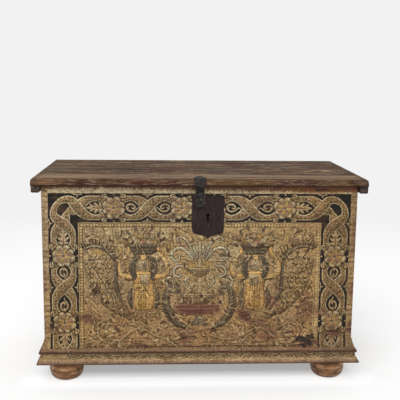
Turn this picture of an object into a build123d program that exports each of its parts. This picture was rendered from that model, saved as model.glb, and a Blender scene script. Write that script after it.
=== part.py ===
from build123d import *
import math
import os

# Painted cassone: a dovetailed plank chest on bun feet, with a cleated lid, strap hinges, a hasp and
# a plate lock. X runs to the right as seen from the front, Y towards the back and Z up. The origin is on
# the floor, at the centre of the overall box. All lengths are in millimetres.

# ---- Carcass: four walls of two boards each, dovetailed at the corners ----
body_width = 1180.0
body_depth = 616.0
wall_height = 647.0
front_board = 24.0  # thickness of the front and back boards
side_board = 24.0  # thickness of the side boards
board_joint = 0.4  # open joint between two boards of one wall
tail_count = 6
tail_wide = 70.0  # height of a dovetail at the outer face
tail_narrow = 52.0  # height of a dovetail at its root
front_seam_height = 153.6  # height of the lower board of the front and back
side_seam_tails = 3  # tails below the side walls' seam

# ---- Bottom, bearers and feet ----
bottom_thickness = 20.0
bottom_planks = 3
bearer_thickness = 20.0
bearer_width = 120.0
foot_inset_x = 71.0  # from the carcass side to the foot's axis
foot_inset_y = 85.0  # from the carcass front or back to the foot's axis
foot_height = 90.0
foot_base_radius = 40.0
foot_rim_radius = 62.5
foot_rim_height = 21.0
foot_bead_height = 3.0
foot_bead_bulge = 1.0
foot_lower_bulge = 4.5
foot_radius = 66.5
foot_belly_height = 42.0
foot_shoulder_radius = 57.0
foot_shoulder_height = 66.0
foot_neck_radius = 46.0
foot_neck_height = 79.0
foot_neck_bulge = 2.0
foot_collar_radius = 53.0
foot_collar_height = 8.0
tenon_radius = 15.0
tenon_clearance = 0.05

# ---- Plinth frieze, and the cove moulding above it ----
plinth_reach = 28.0  # of the lowest edge, in front of the carcass
plinth_lip = 7.0
frieze_reach = 15.0
flare_height = 13.0
flare_bulge = 2.2
cove_reach = 20.0
cove_fillet = 8.0
cove_step = 1.5  # from the fillet in to the foot of the hollow
cove_height = 51.0
cove_top_reach = 2.5
cove_bulge = 2.6

# ---- Lid ----
lid_end_overhang = 35.0  # of the lid's ends beyond the carcass sides
lid_overhang = 24.0  # of the lid's front edge
lid_thickness = 25.0
lid_gap = 0.4  # between the carcass and the closed lid
lid_edge_flat = 7.0  # upright part of the moulded edge
lid_edge_round = 22.0  # width of the moulded edge's rounding
lid_edge_bulge = 5.2
lid_edge_step = 2.5  # height of the step behind the rounding
lid_step_inset = 25.0
lid_end_rounding = 6.0  # radius along the top of the lid's sawn ends
front_plank_width = 236.0
middle_plank_width = 204.0
cleat_width = 31.0
cleat_height = 27.0
cleat_clearance = 3.0  # between a cleat and the carcass side
cleat_setback = 5.0  # behind the lid's front edge
cleat_rounding = 6.0

# ---- Strap hinges ----
hinge_offset = 400.0  # from the middle of the chest to a hinge's middle
hinge_knuckle_radius = 6.5
hinge_pin_radius = 3.0
hinge_gap = 0.5  # between the knuckles and the carcass back
pin_clearance = 0.05  # running clearance round a hinge pin
pin_head_height = 1.6
pin_head_reach = 1.4  # of a pin's head beyond its shank
pin_end_play = 0.3
knuckle_gap = 0.4  # side play between knuckles
strap_thickness = 3.0
strap_width = 34.0
strap_neck = 22.0
strap_neck_length = 12.0
strap_length = 300.0
strap_end_radius = 24.0
strap_clearance = 0.3  # round the strap in its groove
strap_nail_inset = 22.0  # from a board joint to a strap nail
leaf_width = 50.0
leaf_height = 92.0
leaf_point = 22.0  # height of the leaf's pointed foot
leaf_bulge = 3.0
leaf_thickness = 3.0
leaf_below_knuckle = 1.0

# ---- Hasp ----
hasp_x = -4.0
hasp_width = 46.0
hasp_waist = 31.0
hasp_neck = 22.0
hasp_thickness = 4.0
hasp_shoulder = 9.0  # height of the taper from the waist to the plate
hasp_corner = 11.0
hasp_plate_height = 42.0
hasp_lip = 5.0  # how far the lower end turns out
hasp_cover = 4.5  # of the hasp over the foot of the staple's slot
hasp_play = 0.5  # between the hasp and the lock plate
hasp_knuckle_radius = 5.0
hasp_pin_radius = 2.0
hasp_knuckle_height = 3.0  # of the knuckle's axis above the lid's underside
hasp_edge_gap = 0.3  # between the knuckles and the lid's edge
hasp_neck_room = 0.6
hasp_leaf_thickness = 3.0
hasp_leaf_length = 52.0  # on the lid's top, behind the moulded edge
hasp_leaf_play = 1.2  # between the bend of the leaf and the moulded edge
hasp_lobe_radius = 12.0
hasp_side_lobe_radius = 9.5
hasp_side_lobe_length = 20.0
hasp_nail_inset = 9.5

# ---- Lock ----
lock_x = 27.0
lock_plate_width = 120.0
lock_plate_height = 159.0
lock_plate_drop = 39.0  # from the carcass top down to the plate's top
lock_plate_shoulder = 34.0  # height of the plate's shaped foot
lock_plate_point = 15.0  # height of the point below the lower corners
lock_plate_corner = 11.0  # inset of the lower corners
lock_corner_bulge = 2.5
lock_point_bulge = 2.0
lock_plate_thickness = 2.5
lock_nail_inset = 7.0
keyhole_drop = 72.0  # from the plate's top to the keyhole's round end
keyhole_radius = 5.8
keyhole_slot = 6.2
keyhole_length = 27.0
case_width = 96.0
case_height = 113.0
case_depth = 26.0
case_wall = 2.0
case_drop = 5.0  # from the plate's top down to the case's top
case_clearance = 0.5  # round the case in its window
bolt_height = 10.0
bolt_thickness = 5.0
bolt_depth = 5.5  # from the carcass front to the bolt's middle
bolt_drop = 17.0  # from the plate's top to the bolt's middle
bolt_length = 66.0
bolt_throw = 13.0
bolt_clearance = 1.0  # from the drawn bolt to the staple
bolt_tail_inset = 26.0
bolt_tail_width = 22.0
bolt_tail_height = 28.0
talon_radius = 6.0
guide_width = 6.0
guide_wall = 1.5
guide_rise = 3.5  # of a guide above and below the bolt
guide_play = 0.3
guide_inset = 1.5  # from the bolt's tail to a guide
spring_thickness = 1.4
spring_gap = 0.4
spring_curl = 4.0
staple_width = 6.0
staple_bar = 3.5
staple_room = 1.2  # round the bolt inside the staple
staple_side_room = 2.5  # beside the staple in its slot
staple_swing_room = 1.5  # below and behind the staple in its slot
ward_radius = 15.5
ward_wall = 1.5
ward_depth = 10.0
ward_gap = 10.0

# ---- Nails ----
nail_radius = 1.6
nail_head_radius = 4.5
nail_head_height = 2.2
nail_head_crown = 2.0  # radius of a head's flat top
nail_clearance = 0.05
nail_cover = 7.0  # wood left beyond a nail's point
nail_depth = 25.0  # of the bottom's nails in the walls
bottom_nail_count = 5
bottom_nail_pitch = 175.0
bearer_nail_rows = 3
bearer_nail_inset = 28.0  # from a foot's collar to a nail
bearer_nail_spread = 36.0  # either side of the bearer's middle

# ---- Levels and faces worked out from the sizes above ----
body_half = body_width / 2
lid_half = body_half + lid_end_overhang
foot_x = body_half - foot_inset_x
bearer_z = foot_height
bottom_z = bearer_z + bearer_thickness
wall_z = bottom_z + bottom_thickness
wall_top = wall_z + wall_height
lid_z = wall_top + lid_gap
lid_top = lid_z + lid_thickness
tail_pitch = wall_height / tail_count
front_seam = wall_z + front_seam_height
side_seam = wall_z + side_seam_tails * tail_pitch

hasp_axis_reach = lid_overhang + hasp_knuckle_radius + hasp_edge_gap
front_reach = max(plinth_reach, hasp_axis_reach + hasp_knuckle_radius)
back_reach = hinge_gap + 2 * hinge_knuckle_radius
front_y = front_reach - (front_reach + body_depth + back_reach) / 2
back_y = front_y + body_depth
lid_front = front_y - lid_overhang
lid_step_y = lid_front + lid_step_inset
hinge_axis_y = back_y + hinge_gap + hinge_knuckle_radius
hinge_axis_z = lid_z + strap_thickness / 2
leaf_top = hinge_axis_z - hinge_knuckle_radius - leaf_below_knuckle
hasp_axis_y = front_y - hasp_axis_reach
hasp_axis_z = lid_z + hasp_knuckle_height

plate_top = wall_top - lock_plate_drop
plate_bottom = plate_top - lock_plate_height
plate_y = front_y - lock_plate_thickness
keyhole_z = plate_top - keyhole_drop
bolt_z = plate_top - bolt_drop
bolt_y = front_y + bolt_depth
case_top = plate_top - case_drop
case_left = lock_x - case_width / 2
case_back = front_y + case_depth - case_wall  # inner face of the case's back
hasp_back = plate_y - hasp_play
hasp_front = hasp_back - hasp_thickness
bolt_tip = hasp_x + staple_width / 2 + bolt_clearance
tail_x = bolt_tip + bolt_tail_inset

# The staple's slot is deep enough for the staple to swing out on the hasp's pin.
staple_half = bolt_height / 2 + staple_room + staple_bar
staple_back = bolt_y + bolt_thickness / 2 + staple_room + staple_bar
staple_swing = math.hypot(staple_back - hasp_axis_y, hasp_axis_z - bolt_z + staple_half)
staple_low = hasp_axis_z - math.sqrt(staple_swing**2 - (plate_y - hasp_axis_y) ** 2)
slot_half = staple_width / 2 + staple_side_room
slot_back = staple_back + staple_swing_room
slot_floor = staple_low - staple_swing_room
hasp_end = slot_floor - hasp_cover


# ---- Shared shapes ----
def block(x0, x1, y0, y1, z0, z1):
    """A box from its low and high faces."""
    return Pos((x0 + x1) / 2, (y0 + y1) / 2, (z0 + z1) / 2) * Box(x1 - x0, y1 - y0, z1 - z0)


def along_x(outline, x0, x1):
    """A (y, z) outline drawn out from x0 to x1."""
    plane = Plane(origin=(x0, 0, 0), x_dir=(0, 1, 0), z_dir=(1, 0, 0))
    return extrude(plane * make_face(outline), amount=x1 - x0)


def along_y(outline, y0, y1):
    """An (x, z) outline drawn out from y0 to y1."""
    plane = Plane(origin=(0, y1, 0), x_dir=(1, 0, 0), z_dir=(0, -1, 0))
    return extrude(plane * make_face(outline), amount=y1 - y0)


def along_z(outline, z0, z1):
    """An (x, y) outline drawn out from z0 to z1."""
    return extrude(Plane.XY.offset(z0) * make_face(outline), amount=z1 - z0)


def closed(*points):
    return Polyline(*points, close=True)


def rod_x(y, z, radius, x0, x1):
    """A round bar along X."""
    return Pos((x0 + x1) / 2, y, z) * Rot(0, 90, 0) * Cylinder(radius, x1 - x0)


def rod_y(x, z, radius, y0, y1):
    """A round bar along Y."""
    return Pos(x, (y0 + y1) / 2, z) * Rot(90, 0, 0) * Cylinder(radius, y1 - y0)


def join(shapes):
    """One solid from several that touch."""
    whole = shapes[0]
    for shape in shapes[1:]:
        whole = whole + shape
    return whole


def cut(shape, tools):
    for tool in tools:
        shape = shape - tool
    return shape


def group(shapes):
    """Several separate solids kept in one node."""
    return Compound(children=[solid for shape in shapes for solid in shape.solids()])


# ---- Nails: each place is the point under the head, the way in, and the length ----
def nail(point, way, length):
    shank = Pos(0, 0, length / 2) * Cylinder(nail_radius, length)
    head = Pos(0, 0, -nail_head_height / 2) * Cone(nail_head_crown, nail_head_radius, nail_head_height)
    return Plane(origin=point, z_dir=way) * (shank + head)


def nail_hole(point, way, length):
    depth = length + nail_clearance
    hole = Pos(0, 0, depth / 2) * Cylinder(nail_radius + nail_clearance, depth)
    return Plane(origin=point, z_dir=way) * hole


def nails(places):
    return group([nail(*place) for place in places])


def nail_holes(places):
    return [nail_hole(*place) for place in places]


def bottom_nail_places():
    """Up through the bottom planks into the lower edges of the front and back."""
    first = -(bottom_nail_count - 1) / 2 * bottom_nail_pitch
    return [
        ((first + i * bottom_nail_pitch, y, bottom_z), (0, 0, 1), bottom_thickness + nail_depth)
        for y in (front_y + front_board / 2, back_y - front_board / 2)
        for i in range(bottom_nail_count)
    ]


def bearer_nail_places():
    """Up through the bearers into the bottom planks, between the feet."""
    inset = foot_inset_y + foot_collar_radius + bearer_nail_inset
    pitch = (body_depth - 2 * inset) / (bearer_nail_rows - 1)
    length = bearer_thickness + bottom_thickness - nail_cover
    return [
        ((side * foot_x + spread, front_y + inset + row * pitch, bearer_z), (0, 0, 1), length)
        for side in (-1, 1)
        for spread in (-bearer_nail_spread, bearer_nail_spread)
        for row in range(bearer_nail_rows)
    ]


def cleat_nail_places():
    """Up through the cleats into the lid's planks."""
    x = body_half + cleat_clearance + cleat_width / 2
    length = cleat_height + lid_thickness - nail_cover
    return [
        ((side * x, (y0 + y1) / 2, lid_z - cleat_height), (0, 0, 1), length)
        for side in (-1, 1)
        for y0, y1 in lid_plank_spans()
    ]


def strap_nail_places(centre):
    """Up through a hinge strap into the middle and rear planks of the lid."""
    middle, rear = lid_plank_spans()[1:]
    spots = (
        back_y - strap_length,
        middle[1] - strap_nail_inset,
        rear[0] + strap_nail_inset,
        back_y - strap_neck_length - strap_nail_inset,
    )
    return [((centre, y, lid_z), (0, 0, 1), lid_thickness - nail_cover) for y in spots]


def leaf_nail_places(centre):
    """Through a hinge leaf into the carcass back: two at the top, one at the foot."""
    side, low = leaf_width / 2 - leaf_point / 2, leaf_top - leaf_height + leaf_point
    spots = ((centre - side, leaf_top - leaf_point), (centre + side, leaf_top - leaf_point), (centre, low))
    length = leaf_thickness + front_board - nail_cover
    return [((x, back_y + leaf_thickness, z), (0, -1, 0), length) for x, z in spots]


def hasp_nail_places():
    """Down through the hasp's leaf into the lid, one in each lobe."""
    side, near = hasp_width / 2 - hasp_nail_inset, lid_step_y + hasp_nail_inset
    far = lid_step_y + hasp_leaf_length - hasp_lobe_radius
    length = hasp_leaf_thickness + lid_thickness - nail_cover
    spots = ((hasp_x - side, near), (hasp_x + side, near), (hasp_x, far))
    return [((x, y, lid_top + hasp_leaf_thickness), (0, 0, -1), length) for x, y in spots]


def lock_nail_places():
    """Through the lock plate into the front, clear of the hasp and of the lock's window."""
    side = lock_plate_width / 2 - lock_nail_inset
    low_side = side - lock_plate_corner
    low = plate_bottom + lock_plate_point + lock_nail_inset
    spots = (
        (lock_x + side, plate_top - lock_nail_inset),
        (lock_x + side, keyhole_z),
        (lock_x - side, keyhole_z),
        (lock_x + low_side, low),
        (lock_x - low_side, low),
        (lock_x, plate_bottom + lock_plate_point),
    )
    length = lock_plate_thickness + front_board - nail_cover
    return [((x, plate_y, z), (0, 1, 0), length) for x, z in spots]


# ---- Carcass walls ----
def tails(x0, x1, y_outer, y_root):
    """The dovetails at one end of a side wall, wide at the outer face."""
    heights = [wall_z + (i + 0.5) * tail_pitch for i in range(tail_count)]
    return [
        along_x(
            closed(
                (y_outer, z - tail_wide / 2),
                (y_outer, z + tail_wide / 2),
                (y_root, z + tail_narrow / 2),
                (y_root, z - tail_narrow / 2),
            ),
            x0,
            x1,
        )
        for z in heights
    ]


def side_spans():
    """The left and right walls' faces along X."""
    return [(-body_half, -body_half + side_board), (body_half - side_board, body_half)]


def long_wall(y_outer, y_inner):
    """The front's or back's lower and upper board, with the dovetails' sockets."""
    sockets = [tail for x0, x1 in side_spans() for tail in tails(x0, x1, y_outer, y_inner)]
    y0, y1 = sorted((y_outer, y_inner))
    lower = block(-body_half, body_half, y0, y1, wall_z, front_seam - board_joint / 2)
    upper = block(-body_half, body_half, y0, y1, front_seam + board_joint / 2, wall_top)
    return cut(lower, sockets), cut(upper, sockets)


def side_wall(x0, x1):
    """A side's lower and upper board, with dovetails at both ends."""
    front_inner, back_inner = front_y + front_board, back_y - front_board
    middle = block(x0, x1, front_inner, back_inner, wall_z, wall_top)
    ends = tails(x0, x1, front_y, front_inner) + tails(x0, x1, back_y, back_inner)
    wall = join([middle] + ends)
    lower = wall & block(x0, x1, front_y, back_y, wall_z, side_seam - board_joint / 2)
    upper = wall & block(x0, x1, front_y, back_y, side_seam + board_joint / 2, wall_top)
    return lower, upper


def staple_slot(top):
    """Open-topped slot in the lock plate, the front and the lock case, which the hasp's staple enters."""
    return block(hasp_x - slot_half, hasp_x + slot_half, plate_y, slot_back, slot_floor, top)


def lock_window():
    """Opening through the front board for the lock case."""
    right, bottom = case_left + case_width, case_top - case_height
    return block(
        case_left - case_clearance,
        right + case_clearance,
        front_y,
        front_y + front_board,
        bottom - case_clearance,
        case_top + case_clearance,
    )


def carcass():
    """All eight wall boards by name."""
    boards = {}
    bottom_holes = nail_holes(bottom_nail_places())
    leaf_holes = [hole for x in (-hinge_offset, hinge_offset) for hole in nail_holes(leaf_nail_places(x))]
    lower, upper = long_wall(front_y, front_y + front_board)
    boards["front_lower_board"] = cut(lower, bottom_holes)
    lock_holes = [lock_window(), staple_slot(wall_top)] + nail_holes(lock_nail_places())
    boards["front_upper_board"] = cut(upper, lock_holes)
    lower, upper = long_wall(back_y, back_y - front_board)
    boards["back_lower_board"] = cut(lower, bottom_holes)
    boards["back_upper_board"] = cut(upper, leaf_holes)
    for side, (x0, x1) in zip(("left", "right"), side_spans()):
        boards[f"{side}_lower_board"], boards[f"{side}_upper_board"] = side_wall(x0, x1)
    return boards


# ---- Bottom, bearers and feet ----
def foot_places():
    front, rear = front_y + foot_inset_y, back_y - foot_inset_y
    return {
        "front_left": (-foot_x, front),
        "front_right": (foot_x, front),
        "rear_left": (-foot_x, rear),
        "rear_right": (foot_x, rear),
    }


def tenon_holes():
    return [
        Pos(x, y, (bearer_z + wall_z) / 2) * Cylinder(tenon_radius + tenon_clearance, wall_z - bearer_z)
        for x, y in foot_places().values()
    ]


def foot():
    """A turned bun foot with a bead under its belly, a neck, and a round tenon on top."""
    bead_top = foot_rim_height + foot_bead_height
    rim_low, rim_high = (foot_rim_radius, foot_rim_height), (foot_rim_radius, bead_top)
    shoulder = (foot_shoulder_radius, foot_shoulder_height)
    neck = (foot_neck_radius, foot_neck_height)
    profile = (
        Line((0, 0), (foot_base_radius, 0))
        + SagittaArc((foot_base_radius, 0), rim_low, -foot_lower_bulge)
        + SagittaArc(rim_low, rim_high, -foot_bead_bulge)
        + ThreePointArc(rim_high, (foot_radius, foot_belly_height), shoulder)
        + SagittaArc(shoulder, neck, foot_neck_bulge)
        + Polyline(
            neck,
            (foot_collar_radius, foot_height - foot_collar_height),
            (foot_collar_radius, foot_height),
            (tenon_radius, foot_height),
            (tenon_radius, wall_z),
            (0, wall_z),
            (0, 0),
        )
    )
    return revolve(Plane.XZ * make_face(profile), axis=Axis.Z)


def base():
    """Bottom planks, bearers and feet by name."""
    pieces = {}
    bottom_holes, bearer_holes = nail_holes(bottom_nail_places()), nail_holes(bearer_nail_places())
    width = body_depth / bottom_planks
    for i in range(bottom_planks):
        y0 = front_y + i * width + (board_joint / 2 if i else 0)
        y1 = front_y + (i + 1) * width - (board_joint / 2 if i < bottom_planks - 1 else 0)
        plank = block(-body_half, body_half, y0, y1, bottom_z, wall_z)
        pieces[f"bottom_plank_{i + 1}"] = cut(plank, tenon_holes() + bottom_holes + bearer_holes)
    for side, x in (("left", -foot_x), ("right", foot_x)):
        bearer = block(x - bearer_width / 2, x + bearer_width / 2, front_y, back_y, bearer_z, bottom_z)
        pieces[f"{side}_bearer"] = cut(bearer, tenon_holes() + bearer_holes)
    for corner, (x, y) in foot_places().items():
        pieces[f"{corner}_foot"] = Pos(x, y, 0) * foot()
    return pieces


# ---- Plinth and cove ----
def plinth_outline():
    """Frieze board with a flared lip at its foot, as (reach, z)."""
    lip_top = foot_height + plinth_lip
    flare_top = lip_top + flare_height
    return (
        Polyline((0, foot_height), (plinth_reach, foot_height), (plinth_reach, lip_top))
        + SagittaArc((plinth_reach, lip_top), (frieze_reach, flare_top), flare_bulge)
        + Polyline((frieze_reach, flare_top), (frieze_reach, wall_z), (0, wall_z), (0, foot_height))
    )


def cove_outline():
    """Cove over a square fillet, as (reach, z)."""
    fillet_top, top = wall_z + cove_fillet, wall_z + cove_height
    hollow = cove_reach - cove_step
    return (
        Polyline((0, wall_z), (cove_reach, wall_z), (cove_reach, fillet_top), (hollow, fillet_top))
        + SagittaArc((hollow, fillet_top), (cove_top_reach, top), cove_bulge)
        + Polyline((cove_top_reach, top), (0, top), (0, wall_z))
    )


def moulding_runs(name, outline, reach):
    """Front, left and right runs of one moulding, mitred at the front corners."""
    outer, edge = body_half + reach, front_y - reach
    runs = {
        "front": (
            Plane(origin=(outer, front_y, 0), x_dir=(0, -1, 0), z_dir=(-1, 0, 0)),
            closed((-outer, edge), (outer, edge), (body_half, front_y), (-body_half, front_y)),
        ),
        "left": (
            Plane(origin=(-body_half, edge, 0), x_dir=(-1, 0, 0), z_dir=(0, 1, 0)),
            closed((-outer, edge), (-body_half, front_y), (-body_half, back_y), (-outer, back_y)),
        ),
        "right": (
            Plane(origin=(body_half, back_y, 0), x_dir=(1, 0, 0), z_dir=(0, -1, 0)),
            closed((outer, edge), (body_half, front_y), (body_half, back_y), (outer, back_y)),
        ),
    }
    pieces = {}
    for side, (plane, room) in runs.items():
        length = 2 * outer if side == "front" else body_depth + reach
        run = extrude(plane * make_face(outline), amount=length)
        pieces[f"{name}_{side}"] = run & along_z(room, 0, wall_top)
    return pieces


# ---- Lid ----
def lid_slab():
    """The whole lid with its moulded front edge and rounded ends, before it is cut into planks."""
    spring_z, round_z = lid_z + lid_edge_flat, lid_top - lid_edge_step
    crown_y = lid_front + lid_edge_round
    section = (
        Line((lid_front, lid_z), (lid_front, spring_z))
        + SagittaArc((lid_front, spring_z), (crown_y, round_z), lid_edge_bulge)
        + Polyline((crown_y, round_z), (lid_step_y, round_z), (lid_step_y, lid_top))
        + Polyline((lid_step_y, lid_top), (back_y, lid_top), (back_y, lid_z), (lid_front, lid_z))
    )
    room = block(-lid_half, lid_half, lid_front, back_y, lid_z, lid_top)
    room = fillet(room.edges().filter_by(Axis.Y).sort_by(Axis.Z)[-2:], lid_end_rounding)
    return along_x(section, -lid_half, lid_half) & room


def lid_plank_spans():
    """The front, middle and rear planks' edges along Y."""
    first, gap = lid_front + front_plank_width, board_joint / 2
    second = first + middle_plank_width
    return [(lid_front, first - gap), (first + gap, second - gap), (second + gap, back_y)]


def cleat(side):
    """Bar under one end of the lid, rounded along its lower edges."""
    x0, x1 = sorted(side * (body_half + cleat_clearance + reach) for reach in (0, cleat_width))
    bar = block(x0, x1, lid_front + cleat_setback, back_y, lid_z - cleat_height, lid_z)
    long_edges = bar.edges().filter_by(Axis.Y).sort_by(Axis.Z)[:2]
    front_edge = bar.edges().filter_by(Axis.X).sort_by(Axis.Z)[:2].sort_by(Axis.Y)[:1]
    return fillet(long_edges + front_edge, cleat_rounding)


def lid():
    """The lid's planks and cleats by name."""
    pieces = {}
    hinge_places = (-hinge_offset, hinge_offset)
    grooves = [strap_plate(x, strap_clearance) for x in hinge_places]
    strap_holes = [hole for x in hinge_places for hole in nail_holes(strap_nail_places(x))]
    cleat_holes = nail_holes(cleat_nail_places())
    holes = cleat_holes + strap_holes + nail_holes(hasp_nail_places())
    slab = lid_slab()
    for name, (y0, y1) in zip(("front", "middle", "rear"), lid_plank_spans()):
        plank = slab & block(-lid_half, lid_half, y0, y1, lid_z, lid_top)
        pieces[f"lid_{name}_plank"] = cut(plank, grooves + holes)
    for name, side in (("left", -1), ("right", 1)):
        pieces[f"lid_{name}_cleat"] = cut(cleat(side), cleat_holes)
    return pieces


# ---- Strap hinges ----
def strap_plate(centre, grow):
    """The flat of a strap, let into the lid's underside, or its groove when grown by a clearance."""
    shoulder, end = back_y - strap_neck_length, back_y - strap_length
    bar = Pos(centre, (end + shoulder) / 2) * Rectangle(strap_width + 2 * grow, shoulder - end + 2 * grow)
    neck = Pos(centre, back_y - strap_neck_length / 2) * Rectangle(strap_neck + 2 * grow, strap_neck_length)
    disc = Pos(centre, end) * Circle(strap_end_radius + grow)
    return extrude(Plane.XY.offset(lid_z) * (bar + neck + disc), amount=strap_thickness)


def hinge_bore(centre):
    radius = hinge_pin_radius + pin_clearance
    return rod_x(hinge_axis_y, hinge_axis_z, radius, centre - leaf_width, centre + leaf_width)


def hinge_strap(centre):
    """Strap under the lid with one knuckle."""
    half = strap_neck / 2
    tongue = block(centre - half, centre + half, back_y - half, hinge_axis_y, lid_z, lid_z + strap_thickness)
    knuckle = rod_x(hinge_axis_y, hinge_axis_z, hinge_knuckle_radius, centre - half, centre + half)
    strap = join([strap_plate(centre, 0), tongue, knuckle])
    return cut(strap, [hinge_bore(centre)] + nail_holes(strap_nail_places(centre)))


def hinge_leaf(centre):
    """Leaf nailed to the carcass back, with a knuckle either side of the strap's."""
    half, bottom = leaf_width / 2, leaf_top - leaf_height
    shoulder = bottom + leaf_point
    left, right = centre - half, centre + half
    outline = (
        Polyline((left, shoulder), (left, leaf_top), (right, leaf_top), (right, shoulder))
        + SagittaArc((right, shoulder), (centre, bottom), leaf_bulge)
        + SagittaArc((centre, bottom), (left, shoulder), leaf_bulge)
    )
    pieces = [along_y(outline, back_y, back_y + leaf_thickness)]
    inner = strap_neck / 2 + knuckle_gap
    for x0, x1 in ((left, centre - inner), (centre + inner, right)):
        pieces.append(block(x0, x1, back_y, back_y + leaf_thickness, leaf_top, wall_top))
        pieces.append(rod_x(hinge_axis_y, hinge_axis_z, hinge_knuckle_radius, x0, x1))
    return cut(join(pieces), [hinge_bore(centre)] + nail_holes(leaf_nail_places(centre)))


def pin(centre, y, z, radius, span):
    """A hinge pin with a peened head at each end."""
    half = span / 2 + pin_end_play
    shank = rod_x(y, z, radius, centre - half, centre + half)
    heads = [
        rod_x(y, z, radius + pin_head_reach, x0, x0 + pin_head_height)
        for x0 in (centre - half - pin_head_height, centre + half)
    ]
    return join([shank] + heads)


def hinges():
    """Straps, leaves and pins of both hinges by name."""
    pieces = {}
    for side, x in (("left", -hinge_offset), ("right", hinge_offset)):
        pieces[f"hinge_strap_{side}"] = hinge_strap(x)
        pieces[f"hinge_leaf_{side}"] = hinge_leaf(x)
        pieces[f"hinge_pin_{side}"] = pin(x, hinge_axis_y, hinge_axis_z, hinge_pin_radius, leaf_width)
    return pieces


# ---- Hasp ----
def hasp_leaf_section():
    """The leaf bent over the lid's moulded edge, as (y, z)."""
    thickness, spring_z = hasp_leaf_thickness, lid_z + lid_edge_flat
    back, top = lid_step_y + hasp_leaf_length, lid_top + thickness
    bulge = lid_edge_bulge + hasp_leaf_play
    outer_bulge = bulge + thickness * (1 - math.sqrt(0.5))
    return (
        Polyline((lid_front, spring_z), (lid_front, hasp_axis_z), (lid_front - thickness, hasp_axis_z))
        + Line((lid_front - thickness, hasp_axis_z), (lid_front - thickness, spring_z))
        + SagittaArc((lid_front - thickness, spring_z), (lid_step_y, top), outer_bulge)
        + Polyline((lid_step_y, top), (back, top), (back, lid_top), (lid_step_y, lid_top))
        + SagittaArc((lid_step_y, lid_top), (lid_front, spring_z), -bulge)
    )


def hasp_leaf_plan():
    """The leaf's outline from above: a wide band with two side lobes and a long middle one."""
    front = hasp_axis_y - hasp_knuckle_radius
    side_end = lid_step_y + hasp_side_lobe_length - hasp_side_lobe_radius
    far_end = lid_step_y + hasp_leaf_length - hasp_lobe_radius
    side = hasp_width / 2 - hasp_side_lobe_radius
    return (
        Pos(hasp_x, (front + side_end) / 2) * Rectangle(hasp_width, side_end - front)
        + Pos(hasp_x - side, side_end) * Circle(hasp_side_lobe_radius)
        + Pos(hasp_x + side, side_end) * Circle(hasp_side_lobe_radius)
        + Pos(hasp_x, (lid_step_y + far_end) / 2) * Rectangle(hasp_lobe_radius, far_end - lid_step_y)
        + Pos(hasp_x, far_end) * Circle(hasp_lobe_radius)
    )


def hasp_bore():
    radius = hasp_pin_radius + pin_clearance
    return rod_x(hasp_axis_y, hasp_axis_z, radius, hasp_x - hasp_width, hasp_x + hasp_width)


def hasp_leaf():
    """Leaf nailed over the lid's front edge, with two knuckles and room between them for the hasp's neck."""
    half, inner = hasp_width / 2, hasp_neck / 2 + knuckle_gap
    band = along_x(hasp_leaf_section(), hasp_x - half, hasp_x + half)
    plan = extrude(Plane.XY.offset(lid_z) * hasp_leaf_plan(), amount=2 * lid_thickness)
    leaf = band & plan
    for x0, x1 in ((hasp_x - half, hasp_x - inner), (hasp_x + inner, hasp_x + half)):
        leaf = leaf + rod_x(hasp_axis_y, hasp_axis_z, hasp_knuckle_radius, x0, x1)
    neck_top = hasp_axis_z + hasp_knuckle_radius + hasp_neck_room
    neck_room = block(hasp_x - inner, hasp_x + inner, lid_front - lid_overhang, lid_front, lid_z, neck_top)
    return cut(leaf, [neck_room, hasp_bore()] + nail_holes(hasp_nail_places()))


def hasp_section():
    """The hasp's cranked section, as (y, z): down from the knuckle, in at 45 degrees, and down again."""
    upper_front = hasp_axis_y - hasp_thickness / 2
    upper_back = upper_front + hasp_thickness
    bend = hasp_thickness * (math.sqrt(2) - 1)
    knee = hasp_axis_z - hasp_knuckle_radius - bend
    drop = hasp_front - upper_front
    return closed(
        (upper_front, hasp_axis_z),
        (upper_front, knee),
        (hasp_front, knee - drop),
        (hasp_front, hasp_end + hasp_lip),
        (hasp_front - hasp_lip, hasp_end),
        (hasp_front - hasp_lip + hasp_thickness, hasp_end),
        (hasp_back, hasp_end + hasp_lip),
        (hasp_back, knee - drop + bend),
        (upper_back, knee + bend),
        (upper_back, hasp_axis_z),
    )


def hasp_front_view():
    """The hasp's outline from the front, as (x, z): a neck, a waist and a plate with cut corners."""
    plate_z = hasp_end + hasp_plate_height
    neck_z = hasp_axis_z - hasp_knuckle_radius
    right_side = [
        (hasp_neck / 2, hasp_axis_z),
        (hasp_neck / 2, neck_z),
        (hasp_waist / 2, neck_z - (hasp_waist - hasp_neck) / 2),
        (hasp_waist / 2, plate_z + hasp_shoulder),
        (hasp_width / 2, plate_z),
        (hasp_width / 2, hasp_end + hasp_corner),
        (hasp_width / 2 - hasp_corner, hasp_end),
    ]
    left_side = [(-x, z) for x, z in reversed(right_side)]
    return closed(*[(hasp_x + x, z) for x, z in right_side + left_side])


def hasp_strap():
    """Cranked strap that drops from the lid's edge to the lock plate."""
    half, neck = hasp_width / 2, hasp_neck / 2
    profile = along_x(hasp_section(), hasp_x - half, hasp_x + half)
    strap = profile & along_y(hasp_front_view(), hasp_axis_y - hasp_knuckle_radius, front_y)
    strap = strap + rod_x(hasp_axis_y, hasp_axis_z, hasp_knuckle_radius, hasp_x - neck, hasp_x + neck)
    return strap - hasp_bore()


def hasp_staple():
    """Square loop on the back of the hasp, which the bolt enters."""
    x0, x1 = hasp_x - staple_width / 2, hasp_x + staple_width / 2
    hole_y0, hole_y1 = hasp_back + staple_bar, staple_back - staple_bar
    hole_half = staple_half - staple_bar
    loop = block(x0, x1, hasp_back, staple_back, bolt_z - staple_half, bolt_z + staple_half)
    return loop - block(x0, x1, hole_y0, hole_y1, bolt_z - hole_half, bolt_z + hole_half)


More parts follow.
